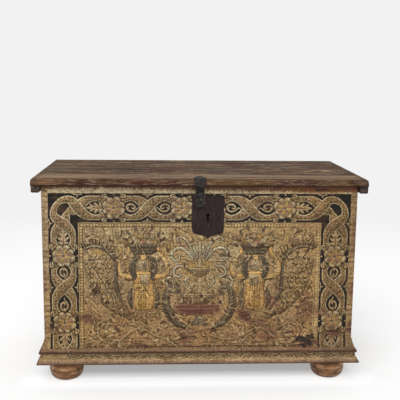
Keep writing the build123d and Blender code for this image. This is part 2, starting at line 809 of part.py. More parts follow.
def hasp():
    return {
        "hasp_leaf": hasp_leaf(),
        "hasp_pin": pin(hasp_x, hasp_axis_y, hasp_axis_z, hasp_pin_radius, hasp_width),
        "hasp_strap": hasp_strap(),
        "hasp_staple": hasp_staple(),
    }


# ---- Lock ----
def lock_plate():
    """Iron plate with a pointed foot, a keyhole, and the slot for the staple."""
    half, shoulder = lock_plate_width / 2, plate_bottom + lock_plate_shoulder
    left, right = lock_x - half, lock_x + half
    corner_z = plate_bottom + lock_plate_point
    left_corner, right_corner = (left + lock_plate_corner, corner_z), (right - lock_plate_corner, corner_z)
    point = (lock_x, plate_bottom)
    outline = (
        Polyline((left, shoulder), (left, plate_top), (right, plate_top), (right, shoulder))
        + SagittaArc((right, shoulder), right_corner, lock_corner_bulge)
        + SagittaArc(right_corner, point, -lock_point_bulge)
        + SagittaArc(point, left_corner, -lock_point_bulge)
        + SagittaArc(left_corner, (left, shoulder), lock_corner_bulge)
    )
    plate = along_y(outline, plate_y, front_y)
    keyhole = rod_y(lock_x, keyhole_z, keyhole_radius, plate_y, front_y)
    slot_left, slot_right = lock_x - keyhole_slot / 2, lock_x + keyhole_slot / 2
    slot = block(slot_left, slot_right, plate_y, front_y, keyhole_z - keyhole_length, keyhole_z)
    return cut(plate, [keyhole, slot, staple_slot(plate_top)] + nail_holes(lock_nail_places()))


def lock_case():
    """Iron box behind the plate, open at the front."""
    right, bottom = case_left + case_width, case_top - case_height
    shell = block(case_left, right, front_y, front_y + case_depth, bottom, case_top)
    room = block(
        case_left + case_wall,
        right - case_wall,
        front_y,
        case_back,
        bottom + case_wall,
        case_top - case_wall,
    )
    return cut(shell, [room, staple_slot(case_top)])


def lock_bolt():
    """Sliding bolt with a notched tail that the key's bit pushes."""
    y0, y1 = bolt_y - bolt_thickness / 2, bolt_y + bolt_thickness / 2
    z0, z1 = bolt_z - bolt_height / 2, bolt_z + bolt_height / 2
    bar = block(bolt_tip, bolt_tip + bolt_length, y0, y1, z0, z1)
    tail = block(tail_x, tail_x + bolt_tail_width, y0, y1, z0 - bolt_tail_height, z0)
    talon = rod_y(tail_x + bolt_tail_width / 2, z0 - bolt_tail_height, talon_radius, y0, y1)
    return bar + tail - talon


def bolt_guides():
    """Two loops on the case's back that the bolt slides through, clear of its tail's travel."""
    left = tail_x - bolt_throw - guide_inset - guide_width
    right = tail_x + bolt_tail_width + guide_inset
    half_y, half_z = bolt_thickness / 2 + guide_play, bolt_height / 2 + guide_play
    post_y, rise = bolt_y - half_y - guide_wall, bolt_height / 2 + guide_rise
    loops = []
    for x0 in (left, right):
        x1 = x0 + guide_width
        post = block(x0, x1, post_y, case_back, bolt_z - rise, bolt_z + rise)
        hole = block(x0, x1, bolt_y - half_y, bolt_y + half_y, bolt_z - half_z, bolt_z + half_z)
        loops.append(post - hole)
    return group(loops)


def lock_spring():
    """Leaf spring from the top of the case down to the bolt."""
    ceiling, rest = case_top - case_wall, bolt_z + bolt_height / 2 + spring_gap
    x0, x1 = tail_x - spring_curl, tail_x + bolt_tail_width - spring_curl
    thickness = spring_thickness
    outline = closed(
        (x1, ceiling),
        (x1, ceiling - thickness),
        (x0 + spring_curl, rest),
        (x0, rest + thickness / 2),
        (x0, rest + thickness * 1.5),
        (x0 + spring_curl, rest + thickness),
        (x1 - spring_curl, ceiling),
    )
    return along_y(outline, bolt_y - bolt_thickness / 2, bolt_y + bolt_thickness / 2)


def key_ward():
    """Split ring round the keyhole that only the right key passes."""
    y0, low, high = case_back - ward_depth, keyhole_z - ward_radius, keyhole_z + ward_radius
    outer = rod_y(lock_x, keyhole_z, ward_radius, y0, case_back)
    inner = rod_y(lock_x, keyhole_z, ward_radius - ward_wall, y0, case_back)
    gap = block(lock_x - ward_gap / 2, lock_x + ward_gap / 2, y0, case_back, low, high)
    return cut(outer, [inner, gap])


def lock():
    return {
        "lock_plate": lock_plate(),
        "lock_case": lock_case(),
        "lock_bolt": lock_bolt(),
        "bolt_guides": bolt_guides(),
        "lock_spring": lock_spring(),
        "key_ward": key_ward(),
    }


def nail_groups():
    hinge_places = (-hinge_offset, hinge_offset)
    return {
        "lock_nails": nails(lock_nail_places()),
        "hasp_nails": nails(hasp_nail_places()),
        "cleat_nails": nails(cleat_nail_places()),
        "strap_nails": nails([place for x in hinge_places for place in strap_nail_places(x)]),
        "leaf_nails": nails([place for x in hinge_places for place in leaf_nail_places(x)]),
        "bottom_nails": nails(bottom_nail_places()),
        "bearer_nails": nails(bearer_nail_places()),
    }


parts = {
    **carcass(),
    **base(),
    **moulding_runs("plinth", plinth_outline(), plinth_reach),
    **moulding_runs("cove", cove_outline(), cove_reach),
    **lid(),
    **hinges(),
    **hasp(),
    **lock(),
    **nail_groups(),
}

os.makedirs("parts", exist_ok=True)
for name, shape in parts.items():
    export_step(shape, f"parts/{name}.step")
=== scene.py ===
"""Painted cassone: a dovetailed plank chest with a painted front, an iron hasp and lock, and bun feet."""
import math
import random

import bmesh
import bpy
from mathutils import Matrix, Vector


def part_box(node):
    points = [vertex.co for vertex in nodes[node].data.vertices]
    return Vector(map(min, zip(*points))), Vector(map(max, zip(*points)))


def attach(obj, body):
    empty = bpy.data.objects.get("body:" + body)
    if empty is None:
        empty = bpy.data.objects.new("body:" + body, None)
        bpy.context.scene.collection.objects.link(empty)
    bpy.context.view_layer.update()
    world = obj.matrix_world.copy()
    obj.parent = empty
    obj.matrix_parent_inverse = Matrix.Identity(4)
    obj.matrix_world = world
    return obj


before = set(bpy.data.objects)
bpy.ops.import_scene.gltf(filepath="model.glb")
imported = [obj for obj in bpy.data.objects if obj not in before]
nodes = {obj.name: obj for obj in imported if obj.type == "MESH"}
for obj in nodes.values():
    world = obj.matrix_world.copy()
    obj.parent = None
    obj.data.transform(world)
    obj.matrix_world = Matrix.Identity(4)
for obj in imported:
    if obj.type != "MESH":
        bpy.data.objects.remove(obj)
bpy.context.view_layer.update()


# ---- Camera ----
# The chest is seen from a standing person's height, a little left of its middle and turned to the right.
camera_place = Vector((-0.1376, -2.9733, 1.1693))
camera_yaw, camera_pitch, camera_roll = 0.0501, -0.1652, 0.011
camera_lens, camera_sensor = 65.61, 36  # in millimetres
camera_forward = Vector((
    math.sin(camera_yaw) * math.cos(camera_pitch),
    math.cos(camera_yaw) * math.cos(camera_pitch),
    math.sin(camera_pitch),
))
camera_right = Vector((math.cos(camera_yaw), -math.sin(camera_yaw), 0))
camera_up = camera_right.cross(camera_forward)
tilted_right = camera_right * math.cos(camera_roll) + camera_up * math.sin(camera_roll)
tilted_up = camera_up * math.cos(camera_roll) - camera_right * math.sin(camera_roll)
camera = bpy.data.objects.new("camera", bpy.data.cameras.new("camera"))
bpy.context.scene.collection.objects.link(camera)
camera.data.lens = camera_lens
camera.data.sensor_width = camera_sensor
camera.matrix_world = Matrix.Translation(camera_place) @ Matrix(
    (tilted_right, tilted_up, -camera_forward)
).transposed().to_4x4()
bpy.context.scene.camera = camera


# ---- Light and floor ----
# A plain pale studio floor under a soft overhead light: an even sky, and one wide lamp from the front. The
# floor and the sky are white to the eye, and shed only as much light on the chest as a room does.
sky_strength = 0.55
lamp_strength = 1.9
lamp_spread = math.radians(50)
lamp_tilt, lamp_turn = math.radians(42), math.radians(-14)
floor_size = 60
near_glow, far_glow = 0.355, 0.203  # of the floor to the eye alone, by the chest and away from it
glow_start, glow_end = 0.9, 3.5  # distances from the middle between which it changes from one to the other
# Painted light: the floor glows more on a strip in front of the chest, which lifts the chest's shadow there.
shadow_lifting_glow = 0.34  # more, on a pale strip along the front
strip_near, strip_middle, strip_far = -0.35, -0.248, -0.17  # the strip's edges and its palest line, in Y
strip_full, strip_end = 0.50, 0.72  # how far it reaches sideways before it fades, and where it ends


def srgb(code):
    """A hex colour as linear red, green, blue and alpha."""
    parts = [int(code[i:i + 2], 16) / 255 for i in (1, 3, 5)]
    return (*[c / 12.92 if c <= 0.04045 else ((c + 0.055) / 1.055) ** 2.4 for c in parts], 1)


def feed(tree, node, inputs):
    """Fills a node's sockets with values, hex colours, sockets, or nodes, whose first live output is used."""
    for key, value in inputs.items():
        if isinstance(value, bpy.types.Node):
            value = next(socket for socket in value.outputs if socket.enabled)
        if isinstance(value, bpy.types.NodeSocket):
            tree.links.new(value, node.inputs[key])
        else:
            node.inputs[key].default_value = srgb(value) if isinstance(value, str) else value


def add(tree, kind, *inputs, stops=(), **settings):
    """Adds one node. Inputs fill its live sockets in order, and capitalised settings those of their names."""
    node = tree.nodes.new("ShaderNode" + kind)
    named = {key: settings.pop(key) for key in list(settings) if key[0].isupper()}
    for key, value in settings.items():
        setattr(node, key, value)
    for i, (place, colour) in enumerate(stops):
        ramp = node.color_ramp.elements
        while len(ramp) < len(stops):
            ramp.new(1)
        ramp[i].position = place
        ramp[i].color = srgb(colour)
    live = [i for i, socket in enumerate(node.inputs) if socket.enabled]
    feed(tree, node, dict(zip(live, inputs)))
    feed(tree, node, named)
    return node


def looked_at(tree):
    """1 for what is seen by itself, in a mirror or through glass, and 0 for light on its way to the chest."""
    path = add(tree, "LightPath")
    seen = add(
        tree, "Math", path.outputs["Is Camera Ray"], path.outputs["Is Glossy Ray"], operation="MAXIMUM"
    )
    return add(tree, "Math", seen, path.outputs["Is Transmission Ray"], operation="MAXIMUM")


world = bpy.data.worlds.new("studio")
world.use_nodes = True
tree = world.node_tree
tree.nodes.clear()
sky = add(tree, "Background", "#ffffff", sky_strength)
backdrop = add(tree, "Background", "#f2f2f2")
add(tree, "OutputWorld", add(tree, "MixShader", looked_at(tree), sky, backdrop))
bpy.context.scene.world = world
bpy.context.scene.view_settings.view_transform = "Standard"

lamp = bpy.data.objects.new("wide_lamp", bpy.data.lights.new("wide_lamp", "SUN"))
lamp.data.energy = lamp_strength
lamp.data.angle = lamp_spread
lamp.rotation_euler = (lamp_tilt, 0, lamp_turn)
bpy.context.scene.collection.objects.link(lamp)

bpy.ops.mesh.primitive_plane_add(size=floor_size)
floor = bpy.context.object
floor.name = "studio_floor"
# Matt paint, so the floor shows the chest's soft shadow and no reflection.
floor_paint = bpy.data.materials.new("matt white studio floor")
floor_paint.use_nodes = True
tree = floor_paint.node_tree
here = add(tree, "TexCoord").outputs["Object"]
spot = add(tree, "SeparateXYZ", here)
away = add(tree, "VectorMath", here, operation="LENGTH")
glow = add(tree, "MapRange", away, glow_start, glow_end, near_glow, far_glow)
# Painted light: a glowing strip along the front of the chest, fading sideways, lightens the chest's shadow on
# the floor.
rise = add(tree, "MapRange", spot.outputs["Y"], strip_far, strip_middle, 0, shadow_lifting_glow)
fall = add(tree, "MapRange", spot.outputs["Y"], strip_near, strip_middle, 0, shadow_lifting_glow)
painted_light_strip = add(tree, "Math", rise, fall, operation="MINIMUM")
beside = add(tree, "Math", spot.outputs["X"], operation="ABSOLUTE")
beside = add(tree, "MapRange", beside, strip_end, strip_full)
glow = add(tree, "Math", painted_light_strip, beside, glow, operation="MULTIPLY_ADD")
feed(tree, tree.nodes["Principled BSDF"], {
    "Base Color": "#d8d8d8", "Roughness": 0.95, "Specular IOR Level": 0, "Emission Color": "#ffffff",
    "Emission Strength": add(tree, "Math", looked_at(tree), glow, operation="MULTIPLY"),
})
floor.data.materials.append(floor_paint)


# ---- Front boards ----
# Two wide poplar boards, grounded and painted in glue distemper four centuries ago, with the cove glued below
# and painted over with them. The paint has worn along the grain down to red-brown wood, most of all low in
# the middle field and at the right of the top strip, and a fire has blackened one spot at the foot.
front_low, front_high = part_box("front_upper_board")
front_y, half_width = front_low.y, front_high.x
back_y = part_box("back_upper_board")[1].y
side_middle, half_depth = (front_y + back_y) / 2, (back_y - front_y) / 2
cove_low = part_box("cove_front")[0]
edge_strip, band_width = 0.023, 0.110  # cream strip beside the black band, and the band
band_top, band_low = 0.747, 0.637  # upper and lower edge of the band along the top
frame_width, line_width = 0.022, 0.0035  # of the beaded frame, and of the plain lines along it
bead_pitch, bead_centre, bead_half = 0.0115, 0.0105, 0.0062  # of the beads: spacing, middle line, half height
bar_pitch, bar_lean = 0.021, 1.4  # of the brown bars on the cream strips
paint_foot = 0.149  # where the painting ends, above the cove's lower edge
edge_blur, line_blur, strip_blur = 0.0006, 0.0004, 0.0005  # half the width of a painted edge's transition
hand_waver = 0.004  # how far a painted edge wanders from its ruled line
paint_depth = 0.0006  # deeper than this behind the painted face, the wood is bare
side_skin, side_loss = 0.0001, 0.035  # what counts as on a side's face, and how much more that has worn

bare_patches = (  # places where the paint has gone, or kept below 0: x, z, half width, half height, strength
    (-0.005, 0.298, 0.085, 0.034, 0.22),
    (-0.070, 0.300, 0.060, 0.020, 0.08),
    (-0.061, 0.178, 0.035, 0.018, 0.15),
    (0.169, 0.278, 0.034, 0.026, 0.15),
    (0.405, 0.338, 0.042, 0.040, 0.10),
    (0.370, 0.310, 0.110, 0.060, 0.04),
    (0.293, 0.327, 0.040, 0.030, 0.10),
    (0.524, 0.202, 0.050, 0.020, 0.16),
    (0.297, 0.186, 0.070, 0.016, 0.12),
    (0.345, 0.206, 0.045, 0.008, 0.13),
    (0.440, 0.164, 0.050, 0.016, 0.14),
    (-0.425, 0.272, 0.040, 0.035, 0.09),
    (-0.224, 0.160, 0.030, 0.010, 0.15),
    (0.510, 0.764, 0.130, 0.020, 0.13),
    (0.586, 0.378, 0.014, 0.040, 0.20),
    (0.586, 0.225, 0.014, 0.030, 0.22),
    (0.586, 0.620, 0.012, 0.100, 0.10),
    (-0.586, 0.400, 0.010, 0.120, 0.08),
    (0.240, 0.230, 0.220, 0.050, 0.05),
    (-0.530, 0.705, 0.080, 0.060, -0.12),
    (0.530, 0.705, 0.080, 0.060, -0.12),
)
scorch = (0.404, 0.175, 0.070, 0.030, 0.62)

# Distemper is pigment in weak glue: it dries matt and chalky, rubs thin along the raised grain and flakes
# off in chips, so the eye sees wood streaks in the paint, brown dirt over it and no shine. One group makes
# that of any paint, on boards and ornament alike, so that what wears away goes from all of them at once.
worn = bpy.data.node_groups.new("worn distemper", "ShaderNodeTree")
worn.interface.new_socket(name="Paint", in_out="INPUT", socket_type="NodeSocketColor")
worn.interface.new_socket(name="Colour", in_out="OUTPUT", socket_type="NodeSocketColor")
worn.interface.new_socket(name="Roughness", in_out="OUTPUT", socket_type="NodeSocketFloat")
worn.interface.new_socket(name="Normal", in_out="OUTPUT", socket_type="NodeSocketVector")
paint_in = worn.nodes.new("NodeGroupInput")
worn_out = worn.nodes.new("NodeGroupOutput")
here = add(worn, "TexCoord").outputs["Object"]
across = add(worn, "SeparateXYZ", here)


def near_place(x, z, half_x, half_z, strength):
    """The strength at a place on the front, fading to nothing round it."""
    away = add(worn, "VectorMath", here, (x, front_y, z), operation="SUBTRACT")
    away = add(worn, "VectorMath", away, (1 / half_x, 1 / half_x, 1 / half_z), operation="MULTIPLY")
    return add(worn, "MapRange", add(worn, "VectorMath", away, operation="LENGTH"), 1.25, 0.3, 0, strength)


# Poplar's own grain is under 1 mm wide. It is drawn as streaks 9 mm wide and 200 mm long, to show at all.
grain = add(worn, "TexNoise", add(worn, "Mapping", here, Scale=(5, 5, 110)), 1, 6, 0.62)
# The worn patches are 110 mm wide and 50 mm high, and the flakes at their edges 9 mm wide and 4 mm high.
patches = add(worn, "TexNoise", add(worn, "Mapping", here, Scale=(1, 1, 2.2)), 9, 9, 0.64)
chips = add(worn, "TexNoise", add(worn, "Mapping", here, Scale=(1, 1, 2.2)), 110, 4, 0.7)
loss = add(worn, "Math", patches, 0.5, operation="MULTIPLY")
loss = add(worn, "Math", grain, 0.13, loss, operation="MULTIPLY_ADD")
loss = add(worn, "Math", chips, 0.37, loss, operation="MULTIPLY_ADD")
for place in bare_patches:
    loss = add(worn, "Math", loss, near_place(*place), operation="ADD")
side_x = add(worn, "Math", across.outputs["X"], operation="ABSOLUTE")
on_side = add(worn, "Math", side_x, half_width - side_skin, operation="GREATER_THAN")
loss = add(worn, "Math", on_side, side_loss, loss, operation="MULTIPLY_ADD")
bare = add(worn, "MapRange", loss, 0.592, 0.630)
within_x = add(worn, "Math", half_width, side_x, operation="SUBTRACT")
within_y = add(worn, "Math", across.outputs["Y"], front_y, operation="SUBTRACT")
unpainted = add(worn, "Math", within_x, within_y, operation="MINIMUM")
unpainted = add(worn, "Math", unpainted, paint_depth, operation="GREATER_THAN")
bare = add(worn, "Math", bare, unpainted, operation="MAXIMUM")
thin = add(worn, "MapRange", loss, 0.46, 0.60, 0, 0.42)
brightness = add(worn, "RGBToBW", paint_in.outputs["Paint"])  # black shows its wear less than cream does
thin = add(worn, "Math", thin, add(worn, "MapRange", brightness, 0.02, 0.15, 0.35, 1), operation="MULTIPLY")
timber = add(
    worn,
    "ValToRGB",
    grain,
    stops=((0.32, "#33201a"), (0.46, "#56372b"), (0.56, "#734b39"), (0.68, "#926a50")),
)

# Dirt lies in wide clouds, in smears 40 mm across and in specks of 8 mm.
dirt = add(worn, "MapRange", add(worn, "TexNoise", here, 3.5, 6, 0.7), 0.3, 0.7, 0.84, 1.06)
cloud = add(worn, "MapRange", add(worn, "TexNoise", here, 24, 5, 0.65), 0.5, 0.70, 0, 0.5)
grime = add(worn, "TexNoise", add(worn, "Mapping", here, Scale=(1, 1, 1.5)), 120, 3, 0.75)
grime = add(worn, "MapRange", grime, 0.36, 0.64, 0.52, 1.38)
soiled = add(worn, "Math", dirt, grime, operation="MULTIPLY")
sooty = add(worn, "MapRange", across.outputs["Z"], 0.195, 0.165, 1, 0.85)  # dust lies on the cove
soiled = add(worn, "Math", soiled, sooty, operation="MULTIPLY")
below_strip = add(worn, "MapRange", across.outputs["Z"], 0.746, 0.748)
# Hands have soiled the right border.
handled = add(worn, "MapRange", across.outputs["X"], 0.470, 0.480, 1, 0.84)
handled = add(worn, "Math", handled, below_strip, operation="MAXIMUM")
soiled = add(worn, "Math", soiled, handled, operation="MULTIPLY")
browner = add(worn, "MapRange", across.outputs["Z"], 0.48, 0.28)  # low down, and towards the right
rightwards = add(worn, "MapRange", across.outputs["X"], 0.15, 0.40)
browner = add(worn, "Math", browner, rightwards, operation="MAXIMUM")
browned = add(worn, "Mix", browner, "#ffffff", "#f8efe0", data_type="RGBA")

# Fine brown and light lines wander through the picture, as the painter's hatching does, about 7 mm apart.
level = add(worn, "TexNoise", here, 15, 1.5)
level = add(worn, "Math", add(worn, "Math", level, 9, operation="MULTIPLY"), operation="FRACT")
dark_line = add(worn, "Math", add(worn, "Math", level, 0.5, operation="SUBTRACT"), operation="ABSOLUTE")
dark_line = add(worn, "MapRange", dark_line, 0.17, 0.05, 0, 0.85)
light_line = add(worn, "Math", add(worn, "Math", level, 0.78, operation="SUBTRACT"), operation="ABSOLUTE")
light_line = add(worn, "MapRange", light_line, 0.15, 0.04, 0, 0.6)
broken = add(worn, "MapRange", add(worn, "TexNoise", here, 38), 0.42, 0.55)
picture = add(worn, "Math", half_width - edge_strip - band_width - frame_width, side_x, operation="SUBTRACT")
below_band = add(worn, "Math", band_low - frame_width, across.outputs["Z"], operation="SUBTRACT")
above_foot = add(worn, "Math", across.outputs["Z"], paint_foot, operation="SUBTRACT")
picture = add(worn, "Math", picture, below_band, operation="MINIMUM")
picture = add(worn, "Math", picture, above_foot, operation="MINIMUM")
picture = add(worn, "Math", picture, 0, operation="GREATER_THAN")
picture = add(worn, "Math", picture, broken, operation="MULTIPLY")
dark_line = add(worn, "Math", dark_line, picture, operation="MULTIPLY")
light_line = add(worn, "Math", light_line, picture, operation="MULTIPLY")

# Cracks open along the grain, about 30 mm apart.
hairline = add(worn, "TexNoise", add(worn, "Mapping", here, Scale=(2.2, 2.2, 36)), 1)
hairline = add(worn, "Math", add(worn, "Math", hairline, 0.5, operation="SUBTRACT"), operation="ABSOLUTE")
crack = add(worn, "MapRange", hairline, 0.006, 0.0, 0, 0.55)

painted = add(worn, "Mix", thin, paint_in.outputs["Paint"], timber, data_type="RGBA")
painted = add(worn, "Mix", cloud, painted, "#654c33", data_type="RGBA")
painted = add(worn, "Mix", light_line, painted, "#cdb88c", data_type="RGBA")
painted = add(worn, "Mix", dark_line, painted, "#43301d", data_type="RGBA")
painted = add(worn, "VectorMath", painted, soiled, operation="MULTIPLY")
painted = add(worn, "VectorMath", painted, browned, operation="MULTIPLY")
shown = add(worn, "Mix", bare, painted, timber, data_type="RGBA")
charring = add(worn, "TexNoise", add(worn, "Mapping", here, Scale=(40, 40, 70)), 1, 6, 0.65)
burnt = add(worn, "Math", charring, 1.6, near_place(*scorch), operation="MULTIPLY_ADD")
burnt = add(worn, "MapRange", burnt, 1.14, 1.26, 0, 0.88)
shown = add(worn, "Mix", burnt, shown, "#171516", data_type="RGBA")
shown = add(worn, "Mix", crack, shown, "#2a1c14", data_type="RGBA")
gloss = add(worn, "MapRange", grain, 0.3, 0.7, 0.88, 0.66)  # rubbed wood is a little less matt than paint
height = add(worn, "Math", grain, 0.5, operation="MULTIPLY")
height = add(worn, "Math", bare, -0.35, height, operation="MULTIPLY_ADD")
height = add(worn, "Math", crack, -1.0, height, operation="MULTIPLY_ADD")
height = add(worn, "Math", chips, 0.25, height, operation="MULTIPLY_ADD")
relief = add(worn, "Bump", Strength=0.5, Distance=0.0012, Height=height)
feed(worn, worn_out, {"Colour": shown, "Roughness": gloss, "Normal": relief})


def distemper(name, colour=None):
    """A worn distemper finish: its material, and the group whose Paint input takes a pattern."""
    material = bpy.data.materials.new(name)
    material.use_nodes = True
    tree = material.node_tree
    coat = add(tree, "Group", node_tree=worn)
    if colour:
        feed(tree, coat, {"Paint": colour})
    feed(tree, tree.nodes["Principled BSDF"], {
        "Base Color": coat.outputs["Colour"], "Roughness": coat.outputs["Roughness"],
        "Normal": coat.outputs["Normal"], "Specular IOR Level": 0.3,
    })
    return material, coat


# The mouldings' colours from the plinth's lip up to the foot of the painting, by height in metres: a dark
# lip, the pale frieze, a shadow under the fillet, and the fillet itself.
moulding_tones = (
    (0.088, "#3a2a24"), (0.0915, "#4e3b32"), (0.0945, "#88705f"), (0.097, "#9e816c"), (0.1015, "#b69a80"),
    (0.105, "#c6ad88"), (0.108, "#b99f76"), (0.112, "#b59b71"), (0.127, "#b89f75"), (0.1305, "#81674b"),
    (0.1325, "#49342a"), (0.1365, "#503a2e"), (0.139, "#7d6350"), (0.143, "#9a7d63"), (0.150, "#92775c"),
)
tones_low, tones_high = moulding_tones[0][0], moulding_tones[-1][0]


def moulding_colour(tree, z):
    """The mouldings' painted bands by height."""
    share = add(tree, "MapRange", z, tones_low, tones_high)
    stops = [((place - tones_low) / (tones_high - tones_low), code) for place, code in moulding_tones]
    return add(tree, "ValToRGB", share, stops=stops)


def painted_wall(name, axis, middle, half):
    """Distemper on a wall: cream strips at its edges, a black band, a beaded frame and a tinted field."""
    material, coat = distemper(name)
    tree = material.node_tree
    here = add(tree, "TexCoord").outputs["Object"]
    waver = add(tree, "TexNoise", here, 40, 2)
    waver = add(tree, "VectorMath", waver.outputs["Color"], (0.5, 0.5, 0.5), operation="SUBTRACT")
    drawn = add(tree, "VectorMath", waver, (hand_waver,) * 3, here, operation="MULTIPLY_ADD")
    drawn = add(tree, "SeparateXYZ", drawn)
    along = add(tree, "Math", drawn.outputs[axis], middle, operation="SUBTRACT")
    z = drawn.outputs["Z"]
    reach = add(tree, "Math", along, operation="ABSOLUTE")
    to_out_u = add(tree, "Math", half - edge_strip, reach, operation="SUBTRACT")
    to_out_z = add(tree, "Math", band_top, z, operation="SUBTRACT")
    to_in_u = add(tree, "Math", half - edge_strip - band_width, reach, operation="SUBTRACT")
    to_in_z = add(tree, "Math", band_low, z, operation="SUBTRACT")
    to_out = add(tree, "Math", to_out_u, to_out_z, operation="MINIMUM")
    to_in = add(tree, "Math", to_in_u, to_in_z, operation="MINIMUM")

    # The middle field's ground is tan, ochre in places and greyer in others, paler at the top and brown at
    # the foot. Upright hatching 6 mm apart darkens it at the top, and level strokes 9 mm high at the foot.
    field = add(tree, "TexNoise", here, 7, 4)
    field = add(
        tree,
        "ValToRGB",
        field,
        stops=((0.3, "#a38a64"), (0.45, "#b2966c"), (0.58, "#aa8a52"), (0.72, "#b0956f")),
    )
    field = add(tree, "Mix", add(tree, "MapRange", z, 0.58, 0.66, 0, 0.6), field, "#d0b68a", data_type="RGBA")
    lowness = add(tree, "MapRange", z, 0.40, 0.18, 0, 0.55)
    field = add(tree, "Mix", lowness, field, "#ab8866", data_type="RGBA")
    hatch = add(tree, "TexNoise", add(tree, "Mapping", here, Scale=(160, 160, 26)), 1, 3, 0.6)
    hatch = add(tree, "MapRange", hatch, 0.52, 0.62, 0, 0.16)
    hatch = add(tree, "Math", hatch, add(tree, "MapRange", z, 0.50, 0.58), operation="MULTIPLY")
    field = add(tree, "Mix", hatch, field, "#6e5536", data_type="RGBA")
    strokes_low = add(tree, "TexNoise", add(tree, "Mapping", here, Scale=(16, 16, 110)), 1, 3, 0.6)
    strokes_low = add(tree, "MapRange", strokes_low, 0.54, 0.64, 0, 0.55)
    strokes_low = add(tree, "Math", strokes_low, add(tree, "MapRange", z, 0.30, 0.20), operation="MULTIPLY")
    field = add(tree, "Mix", strokes_low, field, "#6a4633", data_type="RGBA")

    # The edge strips are cream, barred with brown, and the one along the top is rubbed red-brown above.
    twist = add(tree, "Math", along, bar_lean, z, operation="MULTIPLY_ADD")
    twist = add(tree, "Math", twist, 1 / bar_pitch, operation="MULTIPLY")
    twist = add(tree, "Math", add(tree, "Math", twist, operation="FRACT"), 0.5, operation="SUBTRACT")
    twist = add(tree, "Math", twist, operation="ABSOLUTE")
    twist = add(tree, "MapRange", twist, 0.24, 0.08, 0, 0.55)
    twist = add(tree, "Math", twist, add(tree, "MapRange", to_out_u, -0.009, -0.012), operation="MULTIPLY")
    strip = add(tree, "MapRange", to_out_u, strip_blur, -strip_blur)
    strip = add(tree, "Mix", strip, "#cdb993", "#b39870", data_type="RGBA")
    strip = add(tree, "Mix", twist, strip, "#503829", data_type="RGBA")
    rubbed = add(tree, "TexNoise", add(tree, "Mapping", here, Scale=(170, 1, 16)), 1, 4, 0.65)
    rubbed = add(tree, "Math", rubbed, 0.036, z, operation="MULTIPLY_ADD")
    rightwards = add(tree, "MapRange", along, -0.3, 0.45)  # where it is rubbed lower down
    rubbed = add(tree, "Math", rightwards, 0.012, rubbed, operation="MULTIPLY_ADD")
    rubbed = add(tree, "MapRange", rubbed, 0.7805, 0.7855, 0, 0.9)
    redder = add(tree, "MapRange", along, 0.28, 0.36)
    redder = add(tree, "Mix", redder, "#7a4e3a", "#935630", data_type="RGBA")
    strip = add(tree, "Mix", rubbed, strip, redder, data_type="RGBA")
    # Painted shade: the wall is darkened nearly to black close under the lid's edge.
    painted_shade_line = add(tree, "MapRange", z, 0.7700, 0.7735, 0, 0.85)  # close under the lid
    strip = add(tree, "Mix", painted_shade_line, strip, "#1d100b", data_type="RGBA")

    # The beaded frame: tan ovals side by side between two brown lines, with a plain cream line outside them.
    upright = add(tree, "Math", to_in_u, to_in_z, operation="LESS_THAN")
    run = add(tree, "Mix", upright, along, z, data_type="FLOAT")
    bead = add(tree, "Math", add(tree, "Math", run, 1 / bead_pitch, operation="MULTIPLY"), operation="FRACT")
    bead = add(tree, "Math", add(tree, "Math", bead, 2, -1, operation="MULTIPLY_ADD"), 4, operation="POWER")
    rise = add(tree, "Math", to_in, 1 / bead_half, -bead_centre / bead_half, operation="MULTIPLY_ADD")
    bead = add(tree, "Math", bead, add(tree, "Math", rise, 4, operation="POWER"), operation="ADD")
    bead = add(
        tree,
        "ValToRGB",
        bead,
        stops=((0.0, "#c6ab79"), (0.35, "#b09461"), (0.75, "#775b3a"), (1.0, "#3e2c1c")),
    )
    outer_line = add(tree, "MapRange", to_in, line_width + line_blur, line_width - line_blur)
    bead = add(tree, "Mix", outer_line, bead, "#b99f72", data_type="RGBA")
    inner_line = add(
        tree, "MapRange", to_in, frame_width - line_width - line_blur, frame_width - line_width + line_blur
    )
    bead = add(tree, "Mix", inner_line, bead, "#b2976a", data_type="RGBA")
    cleaner = add(tree, "MapRange", along, 0.30, 0.40, 0, 0.25)
    bead = add(tree, "Mix", cleaner, bead, "#dcc194", data_type="RGBA")

    on_band = add(tree, "MapRange", to_out, -edge_blur, edge_blur)
    on_frame = add(tree, "MapRange", to_in, -edge_blur, edge_blur)
    in_field = add(tree, "MapRange", to_in, frame_width - edge_blur, frame_width + edge_blur)
    ground = add(tree, "Mix", on_band, strip, "#16140e", data_type="RGBA")
    ground = add(tree, "Mix", on_frame, ground, bead, data_type="RGBA")
    ground = add(tree, "Mix", in_field, ground, field, data_type="RGBA")
    below = add(tree, "MapRange", z, paint_foot + edge_blur, paint_foot - edge_blur)
    feed(tree, coat, {"Paint": add(tree, "Mix", below, ground, moulding_colour(tree, z), data_type="RGBA")})
    return material


def finish_nodes(material, *names):
    """Gives CAD nodes a finish."""
    for name in names:
        nodes[name].data.materials.clear()
        nodes[name].data.materials.append(material)


front_paint = painted_wall("distemper on the poplar front", "X", 0, half_width)
finish_nodes(front_paint, "front_lower_board", "front_upper_board", "cove_front")


# ---- Painted border of the front ----
# Ribbons plaited round black eyes, between rosettes. A sign painter's brush laid it in cream, pink, ochre
# and umber, one colour over another, and each colour here is one thin raised coat.
stroke_depth = 0.00005  # of the paint in the wood's pores
coat_step = 0.00007  # from one coat of paint to the next
layers = 32  # of strokes within a coat, each a little above the last, so that no two share a plane
layer_step = coat_step / layers
made_apart = 0.1  # of the layers while they are made
thinnest = 0.3  # width in millimetres of a stroke's thinnest end
one_point = 0.000001  # how near each other two corners are one
mm = 0.001
cove_spring = 181  # height in millimetres at which the cove leaves the wall
fillet_height = 8  # in millimetres, of the square fillet that the cove springs from
